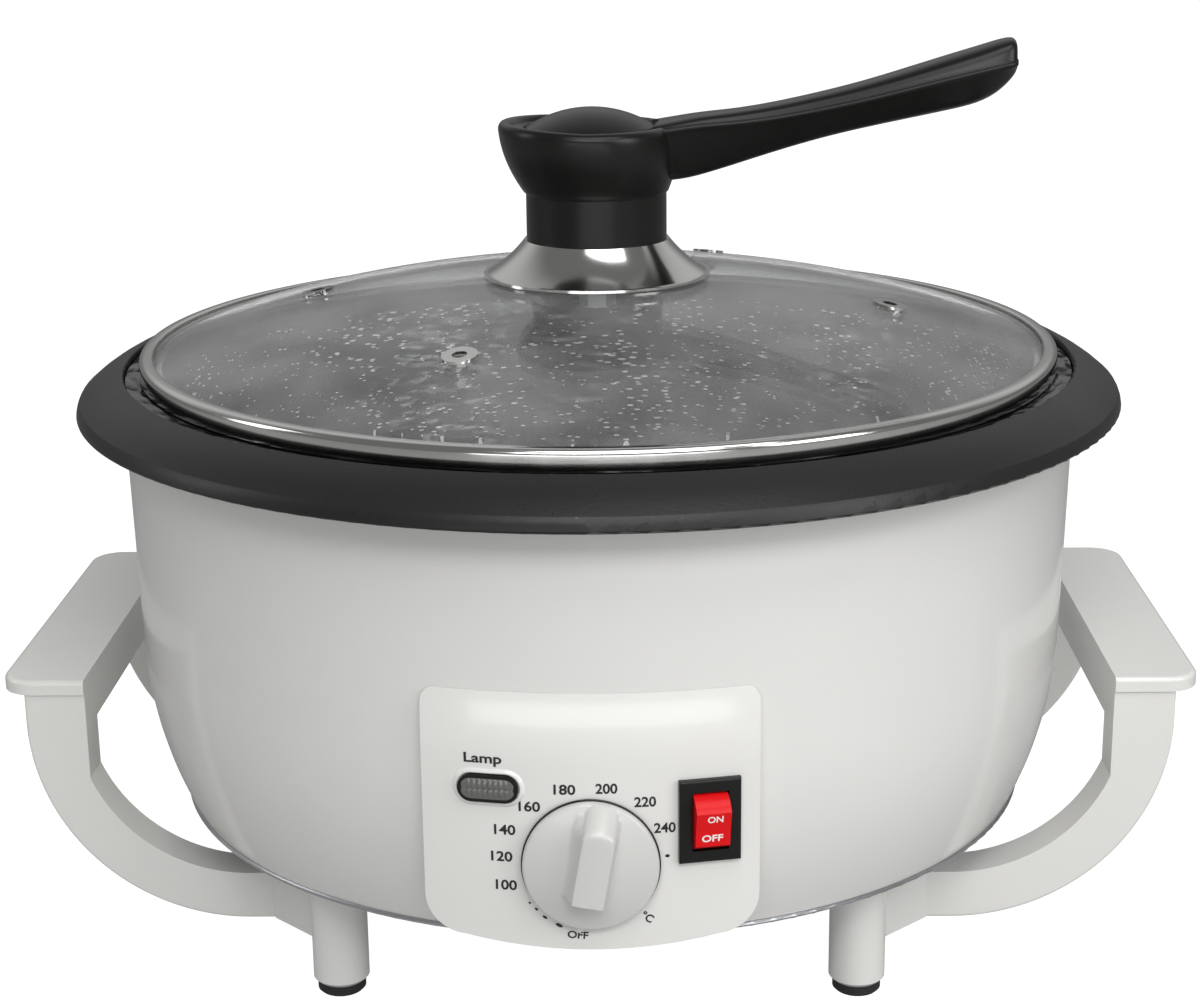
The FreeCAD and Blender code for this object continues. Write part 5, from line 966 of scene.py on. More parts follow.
@dataclass
class PanelPrint:
    """Marks and words printed on the curved face of the control panel.

    Attributes:
        proud: how far the print stands off the face, in millimetres.
        marks: the words.
        dots: name, place and half width and half height of each dot, and its turn.
        DOT_STEPS: corners round a dot.
    """

    DOT_STEPS = 24

    proud: float = 0.08
    marks: tuple = (
        Mark("dial_100", "100", -23.3, -7.1),
        Mark("dial_120", "120", -24.4, 1.3),
        Mark("dial_140", "140", -23.4, 9.2),
        Mark("dial_160", "160", -16.5, 16.35),
        Mark("dial_180", "180", -6.9, 21.5),
        Mark("dial_200", "200", 4.4, 21.8),
        Mark("dial_220", "220", 14.8, 17.7),
        Mark("dial_240", "240", 20.1, 9.9),
        Mark("dial_degrees", "°C", 15.3, -16.3, 3.4, 2.5, 32.0),
        Mark("dial_off", "OFF", -3.8, -21.3, 5.7, 2.2, 4.0),
        Mark("lamp_word", "Lamp", -29.1, 29.2, 10.5, 3.7),
    )
    dots: tuple = (
        ("dial_dash_1", -16.9, -12.1, 0.42, 0.28, 40.0),
        ("dial_dash_2", -15.1, -13.9, 0.55, 0.32, 40.0),
        ("dial_dash_3", -12.8, -16.2, 0.75, 0.36, 33.0),
        ("dial_dash_4", -8.9, -18.5, 1.05, 0.48, 24.0),
        ("dial_end_dot", 20.8, 1.6, 0.62, 0.45, 0.0),
    )
    made: list = field(default_factory=list)

    def build(self, paints: Paintbox) -> None:
        """Prints the dial and the lamp's word.

        Args:
            paints: where the ink comes from.
        """
        for mark in self.marks:
            self.made.append(self.stamp(mark))
        for name, across, up, half_width, half_height, spin in self.dots:
            self.made.append(self.dot(name, (across, up), (half_width, half_height), spin))
        black = paints.ink("black_ink", (0.012, 0.012, 0.012))
        for piece in self.made:
            paints.paint(piece, black)
            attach(piece, Body.COOKER.value)
            log.info("printed %s", piece.name)

    def stamp(self, mark: Mark) -> bpy.types.Object:
        """Prints a word on the face."""
        made = Bench.lettering(mark.words, mark.width, mark.height, self.proud)
        return self.lay(Bench.name(made, mark.name), (mark.across, mark.up), mark.spin)

    def dot(self, name: str, middle: tuple, half: tuple, spin: float) -> bpy.types.Object:
        """Prints a rounded dot or dash on the face.

        Args:
            name: the piece's name.
            middle: its place from the knob's axis.
            half: half its width and half its height.
            spin: its turn, clockwise, in degrees.

        Returns:
            The printed piece.
        """
        turns = [math.tau * step / self.DOT_STEPS for step in range(self.DOT_STEPS)]
        edge = [(half[0] * math.cos(turn), half[1] * math.sin(turn)) for turn in turns]
        levels = (-self.proud / 2.0, self.proud / 2.0)
        made = Bench.skin(name, [[(x, y, level) for x, y in edge] for level in levels])
        return self.lay(made, middle, spin)

    def lay(self, made: bpy.types.Object, middle: tuple, spin: float) -> bpy.types.Object:
        """Turns a flat print and wraps it onto the face.

        Args:
            made: the print, flat about the origin.
            middle: its place from the knob's axis.
            spin: its turn, clockwise, in degrees.

        Returns:
            The same piece.
        """
        turn = Matrix.Rotation(math.radians(-spin), 4, "Z")
        made.data.transform(Matrix.Translation((*middle, 0.0)) @ turn)
        for vertex in made.data.vertices:
            along, rise, out = vertex.co
            vertex.co = FACE.place(along, FACE.knob_height + rise, self.proud / 2.0 + out)
        return made


@dataclass
class Knob:
    """The thermostat knob: a shallow dome on a skirt, with a slanting grip bar and a pointer.

    Sizes are in millimetres; heights are above the panel's face.

    Attributes:
        radius: the skirt.
        back: where the skirt starts.
        skirt: height of the skirt's front edge.
        roll: rounding of that edge.
        dome: height of the dome's middle.
        bar: height of the grip bar.
        half: half the bar's width.
        slant: turn of the bar, clockwise, in degrees.
        offset: how far the bar's middle line passes to the right of the axis.
        low_end: lower end of the bar.
        high_end: upper end of the bar's flat.
        wall: how wide the bar's right and lower walls look from the front.
        sweep: how wide its hollow left wall looks.
        ramp: how steeply the bar falls above its flat.
        pointer: how far the pointer stands out of the skirt.
        ring: inner radius, outer radius, back and front of the black ring round the skirt: a
            painted shadow, a dark piece put where the gap round the knob is in shade.
        SHADOW_RING_EDGE: chamfer of that ring.
        SHADOW_RING_STEPS: steps of a full turn of it.
        STEPS: steps of a full turn of the knob.
        RINGS: how many rings its front has from the middle to the rounding.
        ROLL_STEPS: how many more lie on the rounding.
        FRONT: level of the front while the knob is still a flat disc; its back lies at 0.
        FRONT_FALL: how many rings of the rounding would bring that level down to the back.
        BACK_RIM: width of the flat at the back, inside the skirt.
        POINTER_START: how far inside the skirt's edge the pointer starts.
        POINTER_HALF: half its width, in degrees.
        BAR_ROUND: how far the bar's upper end falls back from its middle line to its sides.
        BAR_SPARE: how far outside the bar's sides that fall ends.
        BAR_SOFT: how softly the flat runs into the ramp.
        BAR_CROWN: how much lower the bar gets with the square of the distance from its middle.
        SWEEP_POWER: how hollow its left wall is.
    """

    SHADOW_RING_EDGE = 0.12
    SHADOW_RING_STEPS = 180
    STEPS = 288
    RINGS = 96
    ROLL_STEPS = 6
    FRONT = 1.0
    FRONT_FALL = 60.0
    BACK_RIM = 1.4
    POINTER_START = 0.2
    POINTER_HALF = 5.0
    BAR_ROUND = 2.4
    BAR_SPARE = 0.2
    BAR_SOFT = 0.3
    BAR_CROWN = 0.02
    SWEEP_POWER = 2.2

    radius: float = 18.6
    back: float = 0.7
    skirt: float = 2.9
    roll: float = 0.7
    dome: float = 5.6
    bar: float = 11.3
    half: float = 4.25
    slant: float = 10.0
    offset: float = 0.5
    low_end: float = -8.2
    high_end: float = 13.2
    wall: float = 1.35
    sweep: float = 3.8
    ramp: float = 1.5
    pointer: float = 1.25
    ring: tuple = (17.9, 18.98, 0.3, 1.0)

    def build(self, paints: Paintbox) -> None:
        """Models the knob and the black ring round it, a painted shadow.

        Args:
            paints: where the finishes come from.
        """
        knob = self.moulding()
        Bench.smooth(knob, angle=60.0)
        # The knob gets the darker copy of the ivory plastic: painted shade.
        paints.paint(knob, paints.special(KNOB_PAINTED_SHADE_FINISH))
        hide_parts("temperature_knob")
        # A black ring round the skirt stands for the shadow in the gap: a painted shadow.
        ring = self.painted_shadow_ring()
        Bench.smooth(ring, angle=40.0)
        paints.paint(ring, paints.finish(Slot.BLACK_PLASTIC))
        for piece, slot in ((knob, Slot.IVORY_PLASTIC), (ring, Slot.BLACK_PLASTIC)):
            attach(piece, Body.DIAL.value)
            log.info("modelled %s", piece.name)

    def stand(self, across: float, up: float, out: float) -> tuple:
        """A point of the knob, from millimetres about its axis to metres in the frame."""
        return across * MM, -(FACE.radius + out) * MM, (FACE.knob_height + up) * MM

    def painted_shadow_ring(self) -> bpy.types.Object:
        """Spins the black ring round the skirt: a painted shadow where the gap round the knob is in
        shade.
        """
        inner, outer, low, high = self.ring
        edge = self.SHADOW_RING_EDGE
        outline = [(inner, low), (outer, low), (outer, high - edge), (outer - edge, high)]
        outline.append((inner, high))
        made = Bench.lathe("knob_painted_shadow_ring", outline, self.SHADOW_RING_STEPS, closed=True)
        for vertex in made.data.vertices:
            vertex.co = self.stand(vertex.co.x, vertex.co.y, vertex.co.z)
        return made

    def moulding(self) -> bpy.types.Object:
        """Spins a finely ringed disc and lifts it to the knob's front."""
        flat = self.radius - self.roll
        outline = [(flat * step / self.RINGS, self.FRONT) for step in range(self.RINGS + 1)]
        for step in range(1, self.ROLL_STEPS + 1):
            turn = math.pi / 2.0 * step / self.ROLL_STEPS
            reach = flat + self.roll * math.sin(turn)
            outline.append((reach, self.FRONT - step / self.FRONT_FALL))
        outline += [(self.radius, 0.0), (self.radius - self.BACK_RIM, 0.0), (0.0, 0.0)]
        made = Bench.lathe("knob_moulding", outline, self.STEPS)
        for vertex in made.data.vertices:
            across, up, level = vertex.co
            reach = math.hypot(across, up)
            if level > self.FRONT / 2.0:
                over = max(0.0, reach - flat) / self.roll
                out = self.front(across, up)
                out -= self.roll * (1.0 - math.sqrt(max(0.0, 1.0 - over * over)))
            else:
                out = self.back
            if reach > self.radius - self.POINTER_START:
                grow = 1.0 + self.pointer / self.radius * self.point(across, up)
                across, up = across * grow, up * grow
            vertex.co = self.stand(across, up, out)
        return made

    def point(self, across: float, up: float) -> float:
        """1 at the tip of the pointer, falling to 0 beside it."""
        heading = math.degrees(math.atan2(-across, -up)) - self.slant
        return max(0.0, 1.0 - abs(heading) / self.POINTER_HALF)

    def front(self, across: float, up: float) -> float:
        """Height of the knob's front above the panel's face.

        Args:
            across: to the right of the axis.
            up: above the axis.

        Returns:
            The height.
        """
        reach = math.hypot(across, up) / self.radius
        dome = self.dome - (self.dome - self.skirt) * reach * reach
        lean = math.radians(self.slant)
        aside = (across - self.offset) * math.cos(lean) - up * math.sin(lean)
        along = (across - self.offset) * math.sin(lean) + up * math.cos(lean)
        sideways = min(1.0, abs(aside) / (self.half + self.BAR_SPARE))
        bow = 1.0 - math.sqrt(max(0.0, 1.0 - sideways ** 2))
        past = along - (self.high_end - self.BAR_ROUND * bow)
        soft = 0.5 * (past + math.sqrt(past * past + self.BAR_SOFT))
        top = self.bar - self.BAR_CROWN * aside * aside - self.ramp * soft
        right = self.fall((aside - self.half) / self.wall)
        beside = max(0.0, -self.half - aside)
        below = max(0.0, self.low_end - along)
        away = min(1.0, math.hypot(beside / self.sweep, below / self.wall))
        return dome + max(0.0, top - dome) * right * (1.0 - away) ** self.SWEEP_POWER

    @staticmethod
    def fall(share: float) -> float:
        """1 before 0, 0 after 1, with a smooth step between."""
        held = min(1.0, max(0.0, share))
        return 1.0 - held * held * (3.0 - 2.0 * held)


@dataclass
class Rocker:
    """What is printed on the red rocker: ON above OFF.

    Attributes:
        words: name, letters, place to the right and above the switch's middle, width and height.
        proud: thickness of the print, in millimetres.
        START: how far in front of the panel's face the print starts on its way back, likewise.
    """

    START = 30.0

    words: tuple = (
        ("rocker_on", "ON", 0.4, 2.1, 4.3, 2.0),
        ("rocker_off", "OFF", -0.2, -3.7, 5.8, 2.1),
    )
    proud: float = 0.07

    def build(self, paints: Paintbox, rocker: bpy.types.Object) -> None:
        """Prints the rocker's words on its hollow face.

        Args:
            paints: where the ink comes from.
            rocker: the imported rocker.
        """
        white = paints.ink("white_ink", (0.9, 0.88, 0.86))
        turn = math.radians(FACE.switch_turn)
        inwards = Vector((-math.sin(turn), math.cos(turn), 0.0))
        for name, letters, across, up, wide, high in self.words:
            made = Bench.name(Bench.lettering(letters, wide, high, self.proud), name)
            for vertex in made.data.vertices:
                aside, rise, out = vertex.co
                height = FACE.switch_height + up + rise
                start = FACE.flat_place(FACE.switch_turn, across + aside, height, self.START)
                found, place, _, _ = rocker.ray_cast(Vector(start), inwards)
                if not found:
                    raise ValueError(f"{name} misses the rocker")
                vertex.co = place - inwards * (self.proud / 2.0 + out) * MM
            paints.paint(made, white)
            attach(made, Body.ROCKER.value)
            log.info("printed %s", made.name)


@dataclass
class PilotLamp:
    """The pilot lamp's ribbed lens and the raised lip of the panel round it, in millimetres.

    Attributes:
        half_long: half the bezel's width.
        half_high: half its height.
        border: width of its black border.
        lens_front: edge of the lens above the panel's face.
        lens_back: where the lens starts.
        pitch: from one rib of the lens to the next.
        lip: width of the raised lip.
        lip_height: how far the lip stands out.
        LENS_STEPS: corners round the lens.
        LENS_RINGS: rings from its edge to its middle.
        LENS_SPAN: how far in they go, as a share of the way to the middle.
        FLATTEN: powers by which its dome falls off to the sides and up and down.
        DOME: height of the dome without its pillows.
        PILLOW: height of a pillow.
        PILLOW_POWER: how full a pillow is, 1 for a plain wave.
        LIP_STEPS: corners round the lip.
        LIP_SHAPE: the lip's section: place as a share of its width, and height as a share of its
            own, or below the face in millimetres.
    """

    LENS_STEPS = 240
    LENS_RINGS = 34
    LENS_SPAN = 0.985
    FLATTEN = (4, 2)
    DOME = 0.1
    PILLOW = 0.42
    PILLOW_POWER = 0.6
    LIP_STEPS = 96
    LIP_SHAPE = (
        (0.04, -0.7),
        (0.04, 0.55),
        (0.3, 1.0),
        (0.62, 0.9),
        (1.0, 0.35),
        (1.25, 0.0),
        (1.3, -0.7),
    )

    half_long: float = 8.5
    half_high: float = 3.9
    border: float = 0.95
    lens_front: float = 1.42
    lens_back: float = 1.0
    pitch: float = 1.5
    lip: float = 1.3
    lip_height: float = 0.7

    def build(self, paints: Paintbox) -> None:
        """Models the lens and the lip.

        Args:
            paints: where the finishes come from.
        """
        lens = self.lens()
        paints.paint(lens, paints.finish(Slot.SMOKED_LENS))
        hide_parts("lamp_lens")
        lip = self.lip_ring()
        paints.paint(lip, paints.finish(Slot.IVORY_PLASTIC))
        for piece in (lens, lip):
            Bench.smooth(piece, angle=50.0)
            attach(piece, Body.COOKER.value)
            log.info("modelled %s", piece.name)

    def oval(self, grow: float, steps: int) -> list:
        """The corners of the lamp's long oval.

        Args:
            grow: how far outside the bezel's edge it lies.
            steps: how many corners.

        Returns:
            Places to the right of and above the lamp's middle.
        """
        high = self.half_high + grow
        straight = self.half_long - self.half_high
        around = 4.0 * straight + math.tau * high
        found = []
        for step in range(steps):
            run = around * step / steps
            if run < 2.0 * straight:
                found.append((run - straight, -high))
            elif run < 2.0 * straight + math.pi * high:
                turn = (run - 2.0 * straight) / high - math.pi / 2.0
                found.append((straight + high * math.cos(turn), high * math.sin(turn)))
            elif run < 4.0 * straight + math.pi * high:
                found.append((straight - (run - 2.0 * straight - math.pi * high), high))
            else:
                turn = (run - 4.0 * straight - math.pi * high) / high + math.pi / 2.0
                found.append((high * math.cos(turn) - straight, high * math.sin(turn)))
        return found

    def lens(self) -> bpy.types.Object:
        """The lens: a slight dome with two rows of small pillows on it."""
        edge = self.oval(-self.border, self.LENS_STEPS)
        sections = [[(x, y, self.lens_back) for x, y in edge]]
        for ring in range(self.LENS_RINGS + 1):
            share = 1.0 - self.LENS_SPAN * ring / self.LENS_RINGS
            places = [(x * share, y * share) for x, y in edge]
            sections.append([(x, y, self.relief(x, y)) for x, y in places])
        return self.hang(Bench.skin("lamp_lens_ribbed", sections))

    def relief(self, across: float, up: float) -> float:
        """Height of the lens above the panel's face at a place."""
        wide, high = self.half_long - self.border, self.half_high - self.border
        sideways, upright = self.FLATTEN
        dome = max(0.0, 1.0 - (across / wide) ** sideways)
        dome *= max(0.0, 1.0 - (up / high) ** upright)
        column = abs(math.sin(math.pi * across / self.pitch)) ** self.PILLOW_POWER
        row = abs(math.sin(math.pi * up / high)) ** self.PILLOW_POWER
        return self.lens_front + dome * (self.DOME + self.PILLOW * column * row)

    def lip_ring(self) -> bpy.types.Object:
        """The lip: a soft raised band round the bezel."""
        sections = []
        for out, height in self.LIP_SHAPE:
            level = height * self.lip_height if height > 0.0 else height
            sections.append([(x, y, level) for x, y in self.oval(out * self.lip, self.LIP_STEPS)])
        made = Bench.skin("lamp_lip", sections + [sections[0]], capped=False)
        Bench.subdivide(made, levels=1)
        return self.hang(made)

    def hang(self, made: bpy.types.Object) -> bpy.types.Object:
        """Wraps a flat piece onto the panel's face at the lamp."""
        middle = -math.radians(FACE.lamp_turn) * FACE.radius
        for vertex in made.data.vertices:
            across, up, out = vertex.co
            vertex.co = FACE.place(middle + across, FACE.lamp_height + up, out)
        return made


@dataclass(frozen=True)
class Station:
    """One place along the lever of the lid handle.

    Attributes:
        reach: distance from the lid's axis.
        shoulder: height of its two shoulders.
        under: height of its underside.
        crown: height of the crown above the shoulders.
        half: half its width at the shoulders.
        half_under: half the width of its underside.
        BELLY: how far the middle of the underside hangs below its edges.
        UNDER: a corner between them: its share of the half width, and how far it hangs.
        FLANK: corners up the flank, as shares of the way across and up to the shoulder.
        BEAD: corners of the bead on the shoulder, from the shoulder.
        CROWN_FOOT: the crown's foot, inside the shoulder, and its share of the crown's height.
        CROWN: corners up the crown, as shares of the half width and of the crown's height.
    """

    BELLY = 1.2
    UNDER = (0.55, 1.0)
    FLANK = ((0.25, 0.12), (0.72, 0.6))
    BEAD = (
        (-0.35, -1.9),
        (0.0, -1.2),
        (0.05, -0.5),
        (-0.45, 0.0),
        (-1.2, -0.1),
        (-2.2, -0.6),
        (-2.9, -0.3),
    )
    CROWN_FOOT = (3.5, 0.42)
    CROWN = ((0.58, 0.82), (0.3, 0.97))

    reach: float
    shoulder: float
    under: float
    crown: float
    half: float
    half_under: float

    def section(self) -> list:
        """Its corners, round the section from the middle of the underside."""
        half, low, high = self.half, self.under, self.shoulder
        spread, rise = half - self.half_under, high - low
        side = [(self.half_under * self.UNDER[0], low - self.UNDER[1]), (self.half_under, low)]
        side += [(self.half_under + spread * across, low + rise * up) for across, up in self.FLANK]
        side += [(half + across, high + up) for across, up in self.BEAD]
        side.append((half - self.CROWN_FOOT[0], high + self.crown * self.CROWN_FOOT[1]))
        side += [(half * across, high + self.crown * up) for across, up in self.CROWN]
        ring = [(0.0, low - self.BELLY)] + side + [(0.0, high + self.crown)]
        ring += [(-across, up) for across, up in reversed(side)]
        return [(self.reach * MM, across * MM, up * MM) for across, up in ring]


@dataclass
class LidHandle:
    """The moulded handle: a flared head that runs out into a long rising lever.

    Sizes are in millimetres.

    Attributes:
        foot: height of the head's foot above the table.
        foot_radius: radius there.
        top: height of the head's lip, from here on above the foot.
        top_radius: radius there.
        lean: how far the lip lies behind the foot.
        cap_radius: radius of the recess for the cap.
        cap_floor: height of the recess's floor.
        cap_lean: how far the recess lies behind the axis.
        well: radius and floor height of the bolt's well.
        bore: radius of the bolt's hole.
        stations: the lever from its root to its tip.
        BACK_LIFT: how much higher the lip is at the back.
        FOOT_EDGE: chamfer of the foot.
        FLARE_END: how far below the lip the flare ends.
        FLARE_POWER: how hollow the flare is, 1 for a plain cone.
        FLARE_STEPS: steps up the flare.
        ROLL: radius of the rolled lip.
        ROLL_TURN: how far it rolls, as a share of half a turn.
        ROLL_STEPS: steps round it.
        HEAD_STEPS: steps of a full turn of the head.
        HEAD_DIP: how far the middle lies below the lip before the recess is cut.
        RECESS_EDGE: widening of the recess at its mouth, and its start and end below the lip.
        TOOL_SPAN: how far the cutting shapes reach below the foot and above the lip.
        TOOL_STEPS: steps of a full turn of these.
    """

    BACK_LIFT = 1.6
    FOOT_EDGE = 0.6
    FLARE_END = 3.4
    FLARE_POWER = 1.9
    FLARE_STEPS = 12
    ROLL = 2.4
    ROLL_TURN = 0.86
    ROLL_STEPS = 8
    HEAD_STEPS = 120
    HEAD_DIP = 1.2
    RECESS_EDGE = (0.9, 1.6, 0.4)
    TOOL_SPAN = (5.0, 12.0)
    TOOL_STEPS = 72

    foot: float
    foot_radius: float = 23.0
    top: float = 21.0
    top_radius: float = 27.9
    lean: float = 3.0
    cap_radius: float = 20.45
    cap_floor: float = 16.5
    cap_lean: float = 1.5
    well: tuple = (7.0, 12.0)
    bore: float = 3.3
    stations: tuple = (
        Station(12.0, 19.8, 4.4, 1.2, 13.6, 9.5),
        Station(22.0, 20.8, 4.6, 1.7, 13.2, 8.4),
        Station(29.0, 21.8, 5.3, 2.0, 12.2, 7.2),
        Station(36.0, 22.4, 7.2, 2.3, 11.7, 6.6),
        Station(44.0, 22.9, 9.6, 2.5, 11.4, 6.2),
        Station(56.0, 24.3, 13.4, 3.0, 11.4, 5.8),
        Station(70.0, 26.9, 17.4, 3.4, 11.7, 5.6),
        Station(83.0, 29.6, 20.4, 3.8, 12.2, 5.6),
        Station(97.0, 33.0, 23.2, 4.6, 12.7, 5.7),
        Station(110.0, 36.2, 25.8, 5.4, 13.0, 5.8),
        Station(119.0, 38.2, 27.8, 6.0, 12.8, 6.0),
        Station(125.0, 39.5, 31.2, 6.6, 12.2, 6.2),
        Station(128.8, 40.2, 35.2, 6.7, 11.4, 6.2),
        Station(130.5, 40.6, 37.6, 5.6, 9.4, 5.4),
    )

    def build(self, paints: Paintbox) -> None:
        """Models the handle.

        Args:
            paints: where its finish comes from.
        """
        handle = self.head()
        Bench.combine(handle, self.lever(), "UNION")
        for tool in self.cutters():
            Bench.combine(handle, tool, "DIFFERENCE")
        Bench.smooth(handle, angle=40.0)
        paints.paint(handle, paints.finish(Slot.BLACK_PLASTIC))
        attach(handle, Body.LID.value)
        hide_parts("lid_handle")
        log.info("modelled %s", handle.name)

    def raised(self, outline: Sequence[Sequence[float]]) -> list:
        """An outline above the head's foot, in metres above the table."""
        return [(reach * MM, (self.foot + height) * MM) for reach, height in outline]

    def head(self) -> bpy.types.Object:
        """Turns the flared head, with a rolled lip that rises towards the back."""
        top, wide, roll = self.top, self.top_radius, self.ROLL
        low, rise = self.FOOT_EDGE, top - self.FLARE_END
        outline = [(0.0, 0.0), (self.foot_radius - low, 0.0), (self.foot_radius, low)]
        for step in range(1, self.FLARE_STEPS + 1):
            share = step / self.FLARE_STEPS
            inset = (wide - self.foot_radius) * (1.0 - share) ** self.FLARE_POWER
            outline.append((wide - inset, low + (rise - low) * share))
        for step in range(self.ROLL_STEPS + 1):
            turn = math.pi * self.ROLL_TURN * step / self.ROLL_STEPS
            reach = wide - roll + roll * math.cos(turn)
            outline.append((reach, top - roll + roll * math.sin(turn)))
        outline.append((0.0, top - self.HEAD_DIP))
        made = Bench.lathe("lid_handle_moulding", self.raised(outline), self.HEAD_STEPS)
        for vertex in made.data.vertices:
            share = (vertex.co.z / MM - self.foot) / top
            back = max(0.0, -vertex.co.x / MM / wide)
            vertex.co.z += self.BACK_LIFT * MM * back * share ** 3
            vertex.co.x -= self.lean * MM * share
        return made

    def lever(self) -> bpy.types.Object:
        """Runs the lever out from the head and rounds its tip."""
        sections = []
        for station in self.stations:
            sections.append([(x, y, z + self.foot * MM) for x, y, z in station.section()])
        made = Bench.skin("lever", sections)
        Bench.subdivide(made, levels=2)
        return made

    def cutters(self) -> list:
        """The recess for the cap, the well for the bolt's head, and the bolt's hole."""
        below, above = -self.TOOL_SPAN[0], self.top + self.TOOL_SPAN[1]
        wide, floor = self.cap_radius, self.cap_floor
        grow, start, end = self.RECESS_EDGE
        recess = [(0.0, floor), (wide, floor), (wide, self.top - start)]
        recess += [(wide + grow, self.top - end), (wide + grow, above), (0.0, above)]
        shapes = [("recess", recess, self.cap_lean)]
        for name, reach, low in (("well", *self.well), ("hole", self.bore, below)):
            outline = [(0.0, low), (reach, low), (reach, above), (0.0, above)]
            shapes.append((name, outline, 0.0))
        made = []
        for name, outline, lean in shapes:
            tool = Bench.lathe(name, self.raised(outline), self.TOOL_STEPS)
            tool.data.transform(Matrix.Translation((-lean * MM, 0.0, 0.0)))
            made.append(tool)
        return made


@dataclass
class LidRim:
    """The lid's domed glass and the rolled steel band on its edge, both finely turned.

    Sizes are in millimetres, heights above the band's seat.

    Attributes:
        seat: height of the band's seat above the table.
        outer: radius of the band.
        sheet: thickness of its sheet.
        rise: height of the band.
        bend: bend over the glass edge.
        lip: inner radius of its upper edge.
        skirt: radius of its skirt inside the pan.
        depth: how far that skirt hangs down.
        edge: radius of the glass.
        thick: thickness of the glass.
        dome: how far the middle of the glass stands above its edge.
        bore: hole in the middle.
        vent_circle: where the steam vents lie.
        vent: radius of a vent.
        vent_turns: their headings, in degrees.
        clear: gap between glass and band.
        steps: steps of a full turn.
        GROUND: chamfer of the glass's upper edge.
        UNDERCUT: chamfer of its lower edge.
        RINGS: rings of the glass from its bore to its edge.
        DRILL_SPAN: how far the vents' drill reaches below and above the seat.
        DRILL_STEPS: steps of a full turn of the drill.
        FOOT_EDGE: chamfer of the band's lower edge.
        BEND_STEPS: steps round the bend.
        LIP_MORE: how much thicker than the sheet the rolled lip is.
        LIP_STEPS: steps round the lip.
    """

    GROUND = 0.5
    UNDERCUT = 0.6
    RINGS = 40
    DRILL_SPAN = (5.0, 60.0)
    DRILL_STEPS = 48
    FOOT_EDGE = 0.5
    BEND_STEPS = 6
    LIP_MORE = 0.35
    LIP_STEPS = 8

    seat: float
    outer: float = 145.0
    sheet: float = 0.8
    rise: float = 6.6
    bend: float = 1.8
    lip: float = 141.2
    skirt: float = 138.2
    depth: float = 6.0
    edge: float = 143.6
    thick: float = 3.8
    dome: float = 23.4
    bore: float = 4.5
    vent_circle: float = 93.0
    vent: float = 3.0
    vent_turns: tuple = (-9.2, 66.2, 170.8, 246.2)
    clear: float = 0.1
    steps: int = 240

    def build(self, paints: Paintbox) -> None:
        """Models the glass and the band.

        Args:
            paints: where the finishes come from.
        """
        glass = self.glass()
        band = self.band()
        pairs = ((glass, "lid_glass", Slot.LID_GLASS), (band, "lid_band", Slot.POLISHED_STEEL))
        for piece, node, slot in pairs:
            Bench.smooth(piece, angle=35.0)
            paints.paint(piece, paints.finish(slot))
            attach(piece, Body.LID.value)
            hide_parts(node)
            log.info("modelled %s", piece.name)

    def turned(self, name: str, outline: Sequence[Sequence[float]]) -> bpy.types.Object:
        """Spins a closed outline given above the band's seat."""
        return Bench.lathe(name, self.lifted(outline), self.steps, closed=True)

    def lifted(self, outline: Sequence[Sequence[float]]) -> list:
        """An outline above the band's seat, in metres above the table."""
        return [(reach * MM, (self.seat + height) * MM) for reach, height in outline]

    def over(self, reach: float) -> float:
        """Height of the glass's upper side at a distance from the axis."""
        ball = (self.edge ** 2 + self.dome ** 2) / (2.0 * self.dome)
        apex = self.sheet + self.thick + self.dome
        return apex - ball + math.sqrt(ball * ball - reach * reach)

    def glass(self) -> bpy.types.Object:
        """The domed glass with its ground edge, its bore and its four vents."""
        width, rings = self.edge - self.bore, self.RINGS
        rounds = [self.bore + width * step / rings for step in range(rings + 1)]
        upper = [(reach, self.over(reach)) for reach in rounds]
        upper[-1] = (self.edge, upper[-1][1] - self.GROUND)
        upper.insert(-1, (self.edge - self.GROUND, self.over(self.edge)))
        lower = [(reach, self.over(reach) - self.thick) for reach in reversed(rounds[:-1])]
        foot = [(self.edge, self.sheet + self.UNDERCUT), (self.edge - self.UNDERCUT, self.sheet)]
        made = self.turned("lid_glass_dome", upper + foot + lower)
        low, high = -self.DRILL_SPAN[0], self.DRILL_SPAN[1]
        hole = self.lifted([(0.0, low), (self.vent, low), (self.vent, high), (0.0, high)])
        for turn in map(math.radians, self.vent_turns):
            drill = Bench.lathe("drill", hole, self.DRILL_STEPS)
            middle = Vector((math.cos(turn), math.sin(turn), 0.0)) * self.vent_circle * MM
            drill.data.transform(Matrix.Translation(middle))
            Bench.combine(made, drill, "DIFFERENCE")
        return made

    def band(self) -> bpy.types.Object:
        """The band: a rolled lip over the glass's edge, flat on the flange, down into the pan."""
        over = self.over(self.lip) + self.clear
        inside = self.edge + self.clear
        outline = [
            (self.skirt - self.sheet, -self.depth),
            (self.skirt, -self.depth),
            (self.skirt, 0.0),
            (self.outer - self.FOOT_EDGE, 0.0),
            (self.outer, self.FOOT_EDGE),
        ]
        bend, top = self.bend, self.rise - self.bend
        for step in range(self.BEND_STEPS + 1):
            turn = math.pi / 2.0 * step / self.BEND_STEPS
            outline.append((self.outer - bend + bend * math.cos(turn), top + bend * math.sin(turn)))
        roll = (self.sheet + self.LIP_MORE) / 2.0
        for step in range(self.LIP_STEPS + 1):
            turn = math.pi / 2.0 + math.pi * step / self.LIP_STEPS
            outline.append((self.lip + roll * math.cos(turn), over + roll + roll * math.sin(turn)))
        outline += [(inside, over), (inside, self.sheet), (self.skirt - self.sheet, self.sheet)]
        return self.turned("lid_band_rolled", outline)


